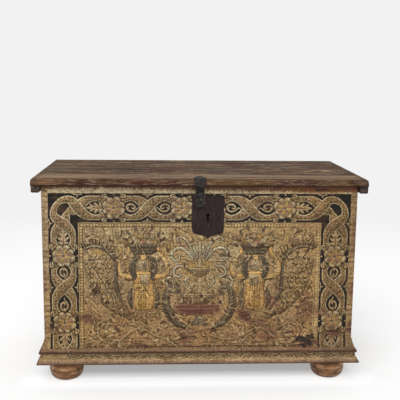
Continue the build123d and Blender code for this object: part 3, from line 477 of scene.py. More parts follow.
# How far the cove stands out at the fillet, and what of that it loses above.
cove_reach, cove_rise = 0.0185, 0.016
cove_hollow = 0.00244  # of its curve behind the straight line
cove_bends = 7  # along its height
front_plane = Matrix(((1, 0, 0, 0), (0, 0, -1, front_y), (0, 1, 0, 0), (0, 0, 0, 1)))
under_plate = (-28, 600), (82, 740)  # left, foot and right, top of what the lock plate covers
strokes = {}


def covered(point):
    """Whether the lock plate covers a point. Its place is left bare, because the keyhole goes through it."""
    (left, foot), (right, top) = under_plate
    return left < point[0] < right and foot < point[1] < top


def brush(colour, points, widths, coat):
    """Keeps one brush stroke: its points and widths in millimetres, and the coat it lies in."""
    if isinstance(widths, (int, float)):
        widths = [widths] * len(points)
    if not all(covered(point) for point in points):
        layer = sum(len(kept) for kept in strokes.values()) % layers
        strokes.setdefault(colour, []).append((points, widths, coat, layer))


def coats_of(kept, coat):
    """One coat's strokes as a mesh of thin raised ribbons on the XY plane."""
    curve = bpy.data.curves.new("stroke", "CURVE")
    curve.dimensions = "3D"
    curve.twist_mode = "Z_UP"
    curve.bevel_depth = 1
    curve.bevel_resolution = 0
    curve.resolution_u = 2
    curve.use_fill_caps = True
    for points, widths, own, layer in kept:
        if own != coat:
            continue
        spline = curve.splines.new("NURBS")
        spline.points.add(len(points) - 1)
        for point, (u, v), width in zip(spline.points, points, widths):
            point.co = (u * mm, v * mm, layer * made_apart, 1)
            point.radius = max(width, thinnest) * mm / 2 * math.sqrt(2)
            point.tilt = math.pi / 4
        spline.order_u = min(3, len(points))
        spline.use_endpoint_u = True
    holder = bpy.data.objects.new("stroke", curve)
    flat = bpy.data.meshes.new_from_object(holder)
    for vertex in flat.vertices:
        layer = round(vertex.co.z / made_apart)
        above = vertex.co.z > layer * made_apart
        vertex.co.z = coat * coat_step + layer * layer_step if above else -stroke_depth
    bpy.data.objects.remove(holder)
    bpy.data.curves.remove(curve)
    return flat


def follow_cove(weave):
    """Cuts the strokes off at the painting's foot, and bends them out over the cove."""
    foot, springs_from = paint_foot / mm, cove_low.z / mm + fillet_height
    lowest = foot + 0.5
    heights = [foot + (cove_spring - foot) * i / cove_bends for i in range(1, cove_bends)]
    for v in [lowest] + heights + [cove_spring - 0.1, cove_spring + 0.3]:
        everything = weave.verts[:] + weave.edges[:] + weave.faces[:]
        cut = bmesh.ops.bisect_plane(
            weave, geom=everything, plane_co=(0, v * mm, 0), plane_no=(0, 1, 0), clear_inner=v == lowest
        )
        if v == lowest:
            rim = [edge for edge in cut["geom_cut"] if isinstance(edge, bmesh.types.BMEdge)]
            bmesh.ops.holes_fill(weave, edges=rim, sides=0)
    for vertex in weave.verts:
        rise = (vertex.co.y / mm - springs_from) / (cove_spring - springs_from)
        if rise < 1:
            vertex.co.z += cove_reach - cove_rise * rise - cove_hollow * 4 * rise * (1 - rise)


def lay(prefix, plane, finishes, body, over_cove=False):
    """Makes one piece of each colour from the strokes kept, on a plane, and empties the palette."""
    for colour, kept in strokes.items():
        mesh = bpy.data.meshes.new(f"{prefix}_{colour}")
        made = bpy.data.objects.new(mesh.name, mesh)
        weave = bmesh.new()
        for coat in sorted({coat for _, _, coat, _ in kept}):
            flat = coats_of(kept, coat)
            weave.from_mesh(flat)
            bpy.data.meshes.remove(flat)
        bmesh.ops.remove_doubles(weave, verts=weave.verts, dist=one_point)
        if over_cove:
            follow_cove(weave)
        weave.transform(plane)
        weave.to_mesh(mesh)
        weave.free()
        mesh.materials.append(finishes[colour])
        bpy.context.scene.collection.objects.link(made)
        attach(made, body)
    strokes.clear()


def turned(points, u, v, angle, size=1, flip=1):
    """Points turned by an angle and moved to (u, v)."""
    c, s = math.cos(angle) * size, math.sin(angle) * size
    return [(u + c * a - s * b * flip, v + s * a + c * b * flip) for a, b in points]


class Band:
    """The middle line of the painted band: up one side, along the top and down the other, in millimetres."""

    bend = 30  # radius of the line at the corners
    foot = 120

    def __init__(self, reach, height, column_knots, top_knots, corners, rosettes):
        """Knots go up the left side, down the right and along the top. Corners and rosettes go by number."""
        self.reach, self.height, self.corners, self.rosettes = reach, height, corners, rosettes
        self.column = height - self.bend - self.foot
        self.arc = math.pi / 2 * self.bend
        self.run = 2 * self.column + 2 * self.arc + 2 * (reach - self.bend)
        ups, downs = column_knots
        self.knots = [v - self.foot for v in ups]
        self.knots += [self.column + self.arc + u + reach - self.bend for u in top_knots]
        self.knots += [self.run - (v - self.foot) for v in downs]

    def point(self, s, off):
        """The point at a distance along the line, and off it towards the outside."""
        if s > self.run / 2:
            u, v = self.point(self.run - s, off)
            return -u, v
        if s < self.column:
            return -self.reach - off, self.foot + s
        if s < self.column + self.arc:
            angle, reach = (s - self.column) / self.bend, self.bend + off
            u = -self.reach + self.bend - reach * math.cos(angle)
            return u, self.height - self.bend + reach * math.sin(angle)
        return -self.reach + self.bend + s - self.column - self.arc, self.height + off

    def span(self, s):
        """Which knots s lies between, and the share of the way from one to the next."""
        k = max([i for i, knot in enumerate(self.knots[:-1]) if knot <= s], default=0)
        return k, (s - self.knots[k]) / (self.knots[k + 1] - self.knots[k])


front_band = Band(
    512, 692,
    ((122, 249, 387, 509, 633), (633, 506, 387, 250, 122)),
    (-458, -324, -199, -70, 50, 183, 317, 458),
    (4, 12), (1, 3, 6, 8, 9, 11, 14, 16),
)
ribbon_swing = 36
ribbon_slim, ribbon_broad = 20, 41  # width beside an eye, and at a knot
corner_swing = {1: 38, -1: 14}


def ribbon(band, strand, start, end, coat, edges, step=7):
    """One strand of the plait, which changes side at each knot and is broad there: coats one on another."""
    def place(s):
        k, share = band.span(s)
        side = strand * (1 if k % 2 else -1)
        swing = corner_swing[side] if k in band.corners else ribbon_swing
        rise = math.sin(math.pi * share)
        return band.point(s, side * swing * (rise + math.sin(math.pi / 2 * rise)) / 2)

    count = max(2, round((end - start) / step))
    line, widths = [], []
    for i in range(count + 1):
        s = start + (end - start) * i / count
        line.append(place(s))
        widths.append(
            ribbon_slim + (ribbon_broad - ribbon_slim) * abs(math.cos(math.pi * band.span(s)[1])) ** 1.5
        )
    bare_from = next((i for i, point in enumerate(line) if covered(point)), count + 1)
    bare_to = next((i for i in range(bare_from, count + 1) if not covered(line[i])), count + 1)
    for colour, more in edges:
        for run in (slice(0, bare_from), slice(bare_to, count + 1)):
            if len(line[run]) > 1:
                brush(colour, line[run], [width + more for width in widths[run]], coat)
        coat += 1


def rosette(u, v, size=1.0, turn=0.0):
    """Four broad and four narrow scalloped petals, shaded with pink and ochre, round a grey eye."""
    for i in range(8):
        angle = turn + (i + 0.5) * math.pi / 4 + random.uniform(-0.05, 0.05)
        broad = 1.1 if i % 2 else 0.86
        long = random.uniform(0.97, 1.04) * (1.0 if i % 2 else 0.95)
        petal = [(4, 0), (18, 0), (30 * long, 0), (38 * long, 0), (43 * long, 0)]
        wide = [3, 15 * broad, 27 * broad, 27 * broad, 11]
        brush(
            "umber",
            turned([(a + 2.4 * (a > 25), b) for a, b in petal], u, v, angle, size),
            [(w + 5.5) * size for w in wide],
            7,
        )
        brush(
            "tan",
            turned([(0, 0), (16, 0), (27, 0), (31, 0)], u, v, angle, size),
            [w * size for w in (16, 20, 24, 18)],
            8,
        )
        brush("cream", turned(petal, u, v, angle, size), [w * size for w in wide], 9)
        brush(
            "tan",
            turned([(12, 0), (22, 1), (31, 0), (36, 0)], u, v, angle, size),
            [w * size for w in (8, 12, 10, 2)],
            10,
        )
        brush(
            ("rose", "ochre")[i % 2],
            turned([(6, 0), (13, 0), (21, 0), (29, 0)], u, v, angle, size),
            [w * size for w in (3, 9, 7, 1)],
            11,
        )
        brush(
            "bright",
            turned([(31, 0), (36, 0), (40, 0)], u, v, angle, size),
            [w * broad * size for w in (8, 19, 10)],
            11,
        )
        brush(
            "brown", turned([(17, 0), (30, 0), (42, 0)], u, v, angle + math.pi / 8, size), [1.2, 2.2, 3.4], 12
        )
        for lean in (-0.2, 0.2):
            brush("brown", turned([(24, 0), (38, 0)], u, v, angle + lean * broad, size), [1.6, 0.8], 12)
    for i in range(4):
        brush(
            "cream",
            turned([(4, 0), (10, 0), (16, 0)], u, v, turn + (i + 0.5) * math.pi / 2, size),
            [3, 6, 1],
            12,
        )
    brush("brown", turned([(-5, 0), (0, 0), (5, 0)], u, v, 0.3, size), [5, 11, 5], 13)
    brush("slate", turned([(-4, 0), (0, 0), (4, 0)], u, v, 0.3, size), [4, 7, 4], 14)


def band_motif(colour, points, widths, coat, band, s, way, side=1):
    """A stroke drawn along the band from s, onwards or back, and to one side."""
    brush(colour, [band.point(s + way * a, side * b) for a, b in points], widths, coat)


def eye_leaf(band, s, way):
    """An ivy leaf of seven lobes, whose tip points away from the rosette."""
    at_s = (band, s, way)
    band_motif("cream", [(36, 0), (54, 0), (76, 0), (90, 0), (102, 0)], [18, 16, 13, 12, 3], 4, *at_s)
    for root, middle, tip, wide in (
        ((44, 2), (49, 12), (52, 19), 10), ((56, 3), (65, 12), (71, 20), 11.5),
        ((70, 1), (81, 8), (88, 14), 9.5),
    ):
        for side in (1, -1):
            band_motif("cream", [root, middle, tip], [wide * 0.8, wide, wide * 0.55], 4, *at_s, side)
            band_motif("tan", [root, middle, tip], [2.0, 1.6, 0.6], 6, *at_s, side)
    band_motif("rose", [(44, 0), (58, 0), (72, 0)], [4, 8, 2], 5, *at_s)
    band_motif("brown", [(46, 0), (70, 0), (94, 0)], [1.8, 1.4, 0.6], 7, *at_s)


def eye_bud(band, s, way):
    """A bud of two curls that turn into each other, in a black eye."""
    at_s = (band, s, way)
    band_motif(
        "cream", [(46, -6), (47, 9), (60, 15), (76, 11), (81, 0), (71, -4), (66, 2)],
        [3, 6, 7.5, 7, 6, 5, 2.5], 4, *at_s,
    )
    band_motif(
        "cream", [(92, 2), (82, -9), (66, -14), (52, -9), (50, 0), (58, 3)], [2, 5.5, 7, 6, 5, 2.5], 5, *at_s
    )
    band_motif("tan", [(50, 9), (61, 14), (74, 10), (79, 1)], [1.4, 3, 3, 1], 6, *at_s)
    band_motif("tan", [(82, -8), (66, -13), (54, -8)], [1.2, 3, 1.4], 6, *at_s)
    band_motif("bright", [(92, 0), (99, 0)], [3, 1.4], 4, *at_s)


def plait(band):
    """The whole border: the ribbons, the rosettes over them, and what fills the eyes and the edges."""
    ends = (0, len(band.knots) - 1)
    for strand in (1, -1):
        edges = (("umber", 4), ("bright", 0), ("ribbon", -7.5))
        ribbon(band, strand, band.knots[0] - 12, band.knots[-1] + 12, 1, edges)
    for k, s in enumerate(band.knots[1:-1], 1):
        if k not in band.rosettes:
            ribbon(band, 1 if (k // 2) % 2 else -1, s - 24, s + 24, 5, (("bright", -0.5), ("ribbon", -8)))
    for k in band.rosettes:
        s = band.knots[k]
        rosette(*band.point(s, 0), turn=random.uniform(-0.1, 0.1))
        for way in (1, -1):
            beyond = k + way
            if beyond in band.rosettes:
                continue
            by_corner = any(beyond in (corner, corner + 1) for corner in band.corners)
            (eye_leaf if by_corner or beyond in ends else eye_bud)(band, s, way)
            for side in (1, -1):
                band_motif(
                    "umber", [(24, 49), (34, 51), (44, 47), (45, 38), (37, 37)], [8, 10, 11, 10, 6], 7, band,
                    s, way, side,
                )
                band_motif(
                    "cream", [(25, 49), (34, 51), (43, 47), (43, 39), (37, 39)], [3, 6, 7, 6, 3], 8, band, s,
                    way, side,
                )
                band_motif("brown", [(30, 50), (37, 49), (41, 45)], [1, 1.8, 1], 9, band, s, way, side)
        for side in (1, -1):
            band_motif("cream", [(-2.5, 50.5), (2.5, 50.5)], 6, 4, band, s, 1, side)
    for k, s in enumerate(band.knots):
        if k in band.rosettes or k in ends:
            continue
        by_corner = any(k in (corner, corner + 1) for corner in band.corners)
        for side in (1, -1):
            if by_corner and side == -1:
                continue
            band_motif("cream", [(0, 39), (0, 45), (0, 51)], [2, 8, 5], 4, band, s, 1, side)
            for way in (1, -1):
                band_motif("cream", [(3, 49), (12, 52), (19, 52)], [3, 4.5, 2], 4, band, s, way, side)


# Paints of earths, chalk, soot and a little copper blue, each as matt and as worn as the ground.
finishes = {}
for colour, code in (
    ("cream", "#c0a981"),
    ("bright", "#cfbd96"),
    ("umber", "#2f231a"),
    ("rose", "#a57a60"),
    ("ochre", "#bc9856"),
    ("grey", "#675e4c"),
    ("slate", "#5f6468"),
    ("brown", "#5a432e"),
    ("white", "#c6b894"),
    ("tan", "#a58a62"),
    ("yellow", "#dfb26d"),
):
    finishes[colour] = distemper(f"{colour} distemper", code)[0]

# The ribbons carry a close pattern of ringed dots, drawn 12 mm apart, in cream, pink and brown on grey tan.
ribbon_paint, ribbon_coat = distemper("dotted ribbon distemper")
tree = ribbon_paint.node_tree
here = add(tree, "TexCoord").outputs["Object"]
dots = add(tree, "TexVoronoi", here, 84, Randomness=0.35)
rings = add(
    tree,
    "ValToRGB",
    dots.outputs["Distance"],
    stops=((0.0, "#dcc595"), (0.2, "#cbb180"), (0.3, "#38261a"), (0.4, "#705b3b"), (0.62, "#a9926a")),
)
hue = add(tree, "SeparateColor", dots.outputs["Color"])
pinker = add(tree, "MapRange", hue, 0.5, 1.0, 0, 0.45)
feed(tree, ribbon_coat, {"Paint": add(tree, "Mix", pinker, rings, "#a06f4a", data_type="RGBA")})
finishes["ribbon"] = ribbon_paint
random.seed(4)
plait(front_band)
lay("border", front_plane, finishes, "chest", over_cove=True)


# ---- Painted field of the front ----
# Traditional grotesque ornament in the same paints: a tiered basin with scrolls of water in the middle, a
# tall vase that carries a basket of fruit on either side of it, horns of plenty at the ends, and leaf
# scrolls round daisies below. The two halves mirror each other, as a painter's pricked pattern gives them.
field_middle = -2
random.seed(11)


def paired(colour, points, widths, coat, sway=1.2):
    """A stroke on both sides of the field's middle, each a little off, as a hand puts it."""
    for side in (1, -1):
        du, dv = random.uniform(-sway, sway), random.uniform(-sway, sway)
        brush(colour, [(field_middle + side * u + du, v + dv) for u, v in points], widths, coat)


def edged(colour, points, widths, coat, edge=3.0, line="brown", single=False):
    """A stroke with a dark line round it, on both sides of the middle or, on the middle itself, once."""
    if isinstance(widths, (int, float)):
        widths = [widths] * len(points)
    (u0, v0), (u1, v1) = points[-2:]
    tip = math.hypot(u1 - u0, v1 - v0)
    longer = points[:-1] + [(u1 + (u1 - u0) / tip * edge / 2, v1 + (v1 - v0) / tip * edge / 2)]
    state = random.getstate()
    if single:
        brush(line, [(field_middle + u, v) for u, v in longer], [w + edge for w in widths], coat)
        brush(colour, [(field_middle + u, v) for u, v in points], widths, coat + 1)
    else:
        paired(line, longer, [w + edge for w in widths], coat)
        random.setstate(state)
        paired(colour, points, widths, coat + 1)


def curl(u, v, radius, turns, start, way=1):
    """Points of a spiral that closes in on (u, v)."""
    count = max(5, round(turns * 8))
    line = []
    for i in range(count + 1):
        share = i / count
        angle = start + way * turns * 2 * math.pi * share
        reach = radius * (1 - 0.82 * share)
        line.append((u + reach * math.cos(angle), v + reach * math.sin(angle)))
    return line


def upright(u, *heights):
    """Points one above another."""
    return [(u, v) for v in heights]


def on_path(path, share):
    """The point at a share of the way along a path's runs, which count alike."""
    k = min(int(share * (len(path) - 1)), len(path) - 2)
    part = share * (len(path) - 1) - k
    return tuple(a * (1 - part) + b * part for a, b in zip(path[k], path[k + 1]))


# Fine hatching and small leaves fill the ground.
for i in range(150):
    u = 150 + 284 * random.random()
    top = random.uniform(560, 612)
    paired(
        random.choice(("brown", "grey", "cream", "tan")),
        [(u, top), (u + random.uniform(-2, 2), top - random.uniform(16, 42))],
        [random.uniform(0.9, 2.2), 0.6],
        1,
        3,
    )
for i in range(560):
    u, v = random.uniform(6, 430), random.uniform(154, 600)
    lean = math.sin(u / 46) * 1.9 + math.cos(v / 38) * 1.6
    long, bow = random.uniform(7, 20), random.uniform(-5, 5)
    du, dv = long * math.cos(lean), long * math.sin(lean)
    colour = random.choice(("brown", "brown", "umber", "tan", "cream", "grey"))
    paired(
        colour,
        [(u, v), (u + du / 2 - dv * bow / 40, v + dv / 2 + du * bow / 40), (u + du, v + dv)],
        [1, random.uniform(2.2, 4.6), 0.8],
        1 if colour in ("tan", "cream") else 2,
        6,
    )
for i in range(60):
    u, v = random.uniform(20, 425), random.uniform(165, 590)
    paired(
        "brown",
        curl(u, v, random.uniform(5, 10), 1.3, random.uniform(0, 6), random.choice((1, -1))),
        2.2,
        3,
        5,
    )
    paired("cream", [(u + 14, v - 1.5), (u + 14, v + 1.5)], 6, 3, 5)
for i in range(90):
    u = random.uniform(10, 432)
    v = 152 + 40 * random.random()
    paired(
        random.choice(("umber", "brown", "tan")),
        [(u, v), (u + random.uniform(12, 46), v + random.uniform(-2, 2))],
        [random.uniform(1, 3), 0.7],
        3,
        4,
    )

# The basin: a foot, a wide bowl, a baluster, a small bowl and a fan of petals.
edged("grey", upright(0, 236, 250, 268, 292, 316), [66, 52, 22, 16, 28], 5, single=True)
edged("tan", upright(0, 318, 328, 342, 354), [28, 72, 116, 128], 5, single=True)
edged("cream", [(-74, 358), (0, 356), (74, 358)], 5, 7, single=True)
edged("cream", upright(0, 362, 374, 388, 404, 426), [10, 20, 13, 22, 9], 5, single=True)
edged("tan", upright(0, 424, 434, 446, 456), [14, 46, 74, 80], 5, single=True)
edged("cream", [(-46, 459), (0, 458), (46, 459)], 4.4, 7, single=True)
edged("cream", upright(0, 462, 474, 488, 498), [8, 15, 9, 13], 5, single=True)
for i in range(5):
    u = 12 + i * 13
    paired("umber", [(u, 350), (u * 0.72, 332), (u * 0.35, 318)], [2.0, 1.6, 0.6], 8)
for i in range(4):
    u = 8 + i * 9
    paired("umber", [(u, 453), (u * 0.7, 440), (u * 0.3, 428)], [1.8, 1.4, 0.6], 8)
for i in range(7):
    u = 8 + i * 10
    paired("umber", [(u, 350 - 3 * (i % 2)), (u + 1, 338 - 6 * (i % 2) - u * 0.1)], [2.6, 0.8], 9)
for i in range(4):
    angle = math.pi / 2 - 0.26 - i * 0.36
    petal = [(6, 0), (26, 0), (44, 0), (58 - i * 3, 0)]
    edged("white", turned(petal, 0, 500, angle), [4, 9, 13, 4], 6 - (i % 2))
    paired("umber", turned([(14, 0), (40, 0)], 0, 500, angle), [1.8, 0.6], 8)
edged("cream", upright(0, 504, 528, 552, 570), [5, 10, 13, 3], 8, single=True)

# Water scrolls, white with dark edges.
for path, widths in (
    (
        [(22, 492), (44, 528), (78, 546), (108, 526), (104, 494), (80, 488), (72, 506), (84, 516)],
        [6, 12, 15, 14, 11, 9, 6, 3],
    ),
    (
        [(52, 462), (70, 474), (94, 466), (100, 440), (82, 424), (66, 436), (76, 448)],
        [5, 10, 13, 12, 9, 6, 3],
    ),
    (
        [(84, 360), (104, 374), (124, 398), (122, 424), (102, 428), (98, 408), (108, 404)],
        [6, 10, 13, 12, 9, 5, 3],
    ),
    ([(20, 506), (34, 548), (58, 580), (84, 584), (88, 566), (74, 560)], [4, 9, 12, 10, 7, 3]),
    ([(24, 376), (44, 392), (58, 412), (50, 426), (38, 418)], [4, 8, 10, 7, 3]),
):
    edged("white", path, [w * 0.8 for w in widths], 9, 3.6, "umber")
    inner = [(u - 1, v - 2) for u, v in path[1:-2]]
    paired("brown", inner, [0.8] + [1.8] * (len(inner) - 2) + [0.8], 11, 0.6)

# Dark leafy stems rise beside the basin and roll over at the top; light scales lie along them.
stem = [(48, 226), (84, 240), (118, 280), (130, 330), (122, 376), (94, 396), (74, 378), (84, 360), (98, 370)]
edged("grey", stem, [14, 24, 28, 26, 22, 18, 12, 8, 4], 9, 4)
paired("umber", [(60, 226), (94, 244), (124, 284), (136, 330), (128, 378)], [3, 7, 8, 7, 3], 11, 0.6)
for i in range(26):
    share = i / 25
    u, v = on_path(stem[:7], share)
    for off in (-7, 0, 7):
        paired(
            "tan" if (i + off) % 2 else "cream",
            curl(u + off, v + off * 0.3, 3.0, 0.5, 0.4 + share * 2),
            1.3,
            12,
            1.4,
        )
for u, v, angle in ((60, 232, -0.6), (92, 246, -0.2), (126, 300, 0.1), (136, 350, 0.7), (110, 398, 1.4)):
    for lean in (-0.5, 0, 0.5):
        edged("tan", turned([(8, 0), (20, 2), (34, 6)], u, v, angle + lean), [6, 9, 2], 6, 2.6)

# The vases: ochre bodies on a leafy skirt, a knop, and two scrolled handles up to the basket.
vase_u = 212
for i in range(7):
    angle = -math.pi / 2 + (i - 3) * 0.36
    leaf = turned([(2, 0), (24, 2), (46, 5), (60, 12)], vase_u, 306, angle, flip=1 if i > 3 else -1)
    edged("tan", leaf, [8, 17, 15, 3], 5)
    paired("brown", turned([(10, 1), (40, 4)], vase_u, 306, angle), [1.8, 0.7], 7)
edged(
    "yellow",
    upright(vase_u, 296, 312, 340, 372, 402, 426, 442, 450),
    [52, 70, 78, 62, 66, 92, 84, 26],
    8,
    3.6,
)
paired("ochre", [(vase_u + 4, 306), (vase_u + 6, 340), (vase_u + 3, 374)], [24, 40, 18], 10)
paired("cream", [(vase_u - 6, 392), (vase_u - 8, 420), (vase_u - 4, 438)], [26, 44, 30], 10)
for off in (-26, -13, 0, 13, 26):
    line = [
        (vase_u + off * out, v) for out, v in ((1, 436), (0.72, 404), (0.62, 376), (0.9, 340), (0.6, 300))
    ]
    paired("brown", line, [1.0, 1.8, 1.5, 1.8, 0.8], 11)
for v, reach in ((374, 32), (403, 34), (440, 40), (300, 27)):
    paired("brown", [(vase_u - reach, v + 1), (vase_u, v - 4), (vase_u + reach, v + 1)], [1.4, 2.4, 1.4], 11)
edged("yellow", upright(vase_u, 446, 462, 514), [18, 16, 20], 8, 3.2)
edged("cream", upright(vase_u, 452, 464, 480, 494), [18, 40, 42, 20], 10)
for i in range(10):
    angle = i * math.pi / 5
    paired("brown", turned([(6, 0), (17, 0)], vase_u, 473, angle), [1.6, 0.8], 12, 0.5)
paired("rose", [(vase_u - 4, 473), (vase_u + 4, 473)], 8, 13, 0.5)
for flip in (1, -1):
    leaf = [
        (vase_u + flip * a, b) for a, b in ((12, 506), (30, 500), (42, 472), (38, 440), (30, 424), (38, 414))
    ]
    edged("grey", leaf, [5, 17, 22, 22, 14, 4], 10, 3)
    for off in (-5, 0, 5):
        paired("umber", [(u + off, v) for u, v in leaf[1:5]], [1.2, 2, 2, 1], 12, 0.8)
    leaf = [(vase_u + flip * a, b) for a, b in ((44, 384), (54, 360), (52, 328), (44, 304))]
    edged("grey", leaf, [4, 15, 17, 4], 7, 3)
    bends = ((38, 430), (66, 424), (92, 446), (88, 482), (64, 512), (50, 536), (60, 548))
    handle = [(vase_u + flip * a, b) for a, b in bends]
    edged("yellow", handle, [20, 19, 17, 15, 13, 11, 4], 9, 3.4)
    paired("cream", [(u - flip * 2, v + 2) for u, v in handle[1:5]], [3, 7, 6, 3], 11, 0.6)

# The baskets, with fruit and leaves heaped over the rim.
edged("grey", upright(vase_u, 514, 526, 540, 550), [66, 84, 104, 116], 12, 3.4)
for row, (v, reach) in enumerate(((520, 34), (530, 42), (541, 50))):
    paired("umber", [(vase_u - reach, v), (vase_u, v - 3), (vase_u + reach, v)], [1.5, 2.2, 1.5], 14)
    for i in range(-4, 5):
        u = vase_u + (row % 2) * 3
        paired("tan", [(u + i * reach / 4.6, v), (u + i * reach / 4.4, v + 7)], [2.2, 1.4], 14)
edged("grey", [(vase_u - 62, 551), (vase_u, 546), (vase_u + 62, 551)], [7, 9, 7], 14, 3)
for off, v, size, colour in (
    (-44, 562, 20, "ochre"), (-22, 564, 24, "cream"), (2, 562, 22, "rose"), (26, 565, 24, "cream"),
    (46, 561, 18, "tan"), (-34, 581, 19, "cream"), (-9, 584, 23, "tan"), (15, 583, 20, "ochre"),
    (36, 579, 17, "cream"), (0, 600, 16, "cream"), (-20, 599, 13, "rose"),
):
    u = vase_u + off
    edged(
        colour, [(u - size * 0.42, v), (u, v), (u + size * 0.42, v)], [size * 0.62, size, size * 0.62], 11,
        2.8,
    )
    paired("brown", curl(u, v, size * 0.3, 0.6, 1.0), 1.4, 14, 0.8)
for off, v, angle in (
    (-60, 566, 2.5), (58, 566, 0.6), (-52, 588, 2.2), (50, 588, 0.9), (-28, 606, 1.9), (24, 604, 1.1)
):
    edged("grey", turned([(0, 0), (10, 2), (24, 0)], vase_u + off, v, angle), [4, 10, 2], 9, 2.6)

# The horns of plenty: ribbed bodies packed with scales, a dark mouth and a fringe of blades.
horn = [(378, 500), (374, 450), (362, 396), (340, 340), (306, 298), (276, 280), (262, 262)]
horn_widths = [112, 108, 92, 66, 34, 16, 5]
edged("tan", horn, horn_widths, 5, 6, "grey")
for i in range(15):
    u, v, wide = on_path([(*point, width) for point, width in zip(horn, horn_widths)][:6], i / 14)
    wide *= 0.84  # a little narrower than the horn
    count = max(2, round(wide / 17))
    for j in range(count):
        off = (j - (count - 1) / 2 + (i % 2) * 0.5) * wide / count
        if abs(off) > wide / 2:
            continue
        fill = random.choice(("cream", "ochre", "cream", "tan"))
        paired(fill, [(u + off, v + 7), (u + off + 1, v), (u + off, v - 6)], [5, 12, 6], 8, 3)
        rim = [(u + off + a, v + b) for a, b in ((-6, 5), (-4, -4), (1, -7), (6, -2), (6, 5))]
        paired("umber", rim, [1.5, 4.2, 3.6, 2.4, 1.0], 9, 3)
paired("grey", [(322, 496), (314, 440), (318, 384), (300, 334), (268, 300)], [5, 13, 12, 9, 3], 10)
paired("umber", [(318, 500), (309, 444), (312, 388), (294, 338)], [2, 4.5, 4, 1.5], 11)
mouth = [(316, 494), (340, 528), (376, 546), (410, 548), (432, 536)]
just_short = 0.99975  # of the mouth's end, where the last blade grows
edged("grey", mouth, [9, 12, 12, 11, 6], 12, 3.4)
paired("cream", [(u, v + 1) for u, v in mouth], [1.5, 3, 3, 3, 1], 14, 0.6)
for i in range(13):
    u, v = on_path(mouth, i / 12 * just_short)
    angle = 2.2 - i * 0.11
    paired(
        "umber", turned([(5, 0), (16, 1), (random.uniform(26, 40), 3)], u, v, angle), [4.5, 4, 0.8], 11, 1.2
    )
    paired("grey", turned([(5, 0), (14, -2), (24, -4)], u + 4, v, angle), [3, 3, 0.8], 10, 1.2)
for off in range(9):
    paired(
        "brown",
        [(424 - off * 2, 470 - off * 24), (408 - off * 5, 440 - off * 24), (414 - off * 6, 418 - off * 22)],
        [1, 2.2, 0.8], 10, 2,
    )

# Leaf scrolls along the foot of the field, each rolled round a daisy.
scroll = [
    (44, 196), (92, 178), (148, 184), (196, 214), (238, 228), (270, 208), (300, 174),
    (346, 164), (386, 186), (388, 226), (356, 248), (318, 240), (306, 214),
]
edged("tan", scroll, [8, 12, 12, 12, 12, 12, 12, 12, 12, 11, 9, 7, 3], 5, 4)
paired("cream", [(u, v + 1.5) for u, v in scroll[1:-1]], 3, 7, 0.6)
for i in range(1, len(scroll) - 1):
    (u0, v0), (u1, v1) = scroll[i - 1], scroll[i + 1]
    angle = math.atan2(v1 - v0, u1 - u0)
    u, v = scroll[i]
    for side in (1, -1):
        leaf = turned([(0, 4), (12, 14), (28, 16), (36, 10)], u, v, angle, 0.9, side)
        edged("tan" if i % 2 else "cream", leaf, [6, 11, 8, 2], 4, 2.8)
        paired("brown", turned([(4, 7), (14, 13), (26, 14)], u, v, angle, 0.9, side), [1, 1.8, 0.8], 6, 0.8)
for i in range(11):
    angle = i * 2 * math.pi / 11
    edged("cream", turned([(5, 0), (14, 0), (22, 0)], 340, 208, angle), [4, 8, 6], 8, 2.4)
edged("ochre", [(334, 208), (340, 208), (346, 208)], [7, 12, 7], 11, 2.6)
edged("tan", [(424, 330), (410, 300), (420, 262), (400, 240)], [4, 9, 8, 3], 4)
edged(
    "cream", [(150, 470), (166, 500), (160, 540), (138, 566), (120, 560), (124, 546)], [3, 7, 9, 9, 6, 3], 5
)
edged("tan", [(150, 440), (168, 400), (160, 350), (166, 310)], [3, 8, 9, 3], 4)
edged("cream", [(290, 560), (280, 520), (292, 470), (286, 420), (296, 380)], [3, 7, 9, 8, 3], 4)

# A brown rule with a light one under it closes the painting at its foot.
foot_line = [(u, 155.2 + random.uniform(-0.6, 0.6)) for u in range(-434, 435, 31)]
brush("brown", foot_line, [random.uniform(4, 6) for _ in foot_line], 15)
brush("tan", [(u, v - 4.6) for u, v in foot_line], [random.uniform(2, 4) for _ in foot_line], 15)
lay("field", front_plane, finishes, "chest", over_cove=True)


# ---- Sides ----
# The same poplar boards and coves at the ends, with a plainer border by the same hand and no picture. They
# stood in the way of knees and brooms, so they are the most worn.
side_paint = painted_wall("distemper on the poplar sides", "Y", side_middle, half_depth)
finish_nodes(side_paint, "left_lower_board", "left_upper_board", "right_lower_board", "right_upper_board")
finish_nodes(side_paint, "cove_left", "cove_right")

side_band = Band(
    230, 692,
    ((122, 249, 387, 509, 633), (633, 506, 387, 250, 122)),
    (-176, -60, 60, 176),
    (4, 8), (1, 3, 6, 7, 10, 12),
)


def wall_plane(side, reach):
    """The plane of a side: its middle is u = 0, and u runs to the right as one faces it."""
    return Matrix(((0, 0, side, side * reach), (side, 0, 0, side_middle), (0, 1, 0, 0), (0, 0, 0, 1)))


for side, name in ((1, "right"), (-1, "left")):
    plait(side_band)
    for i in range(8):
        angle = i * math.pi / 4
        for lean in (1, -1):
            brush(
                "brown",
                turned([(40, 0), (62, 14), (78, 8), (74, -6), (64, -4)], 0, 400, angle, 1, lean),
                [2, 4, 5, 4, 2],
                3,
            )
    rosette(0, 400, 1.3)
    lay(f"{name}_border", wall_plane(side, half_width), finishes, "chest", over_cove=True)


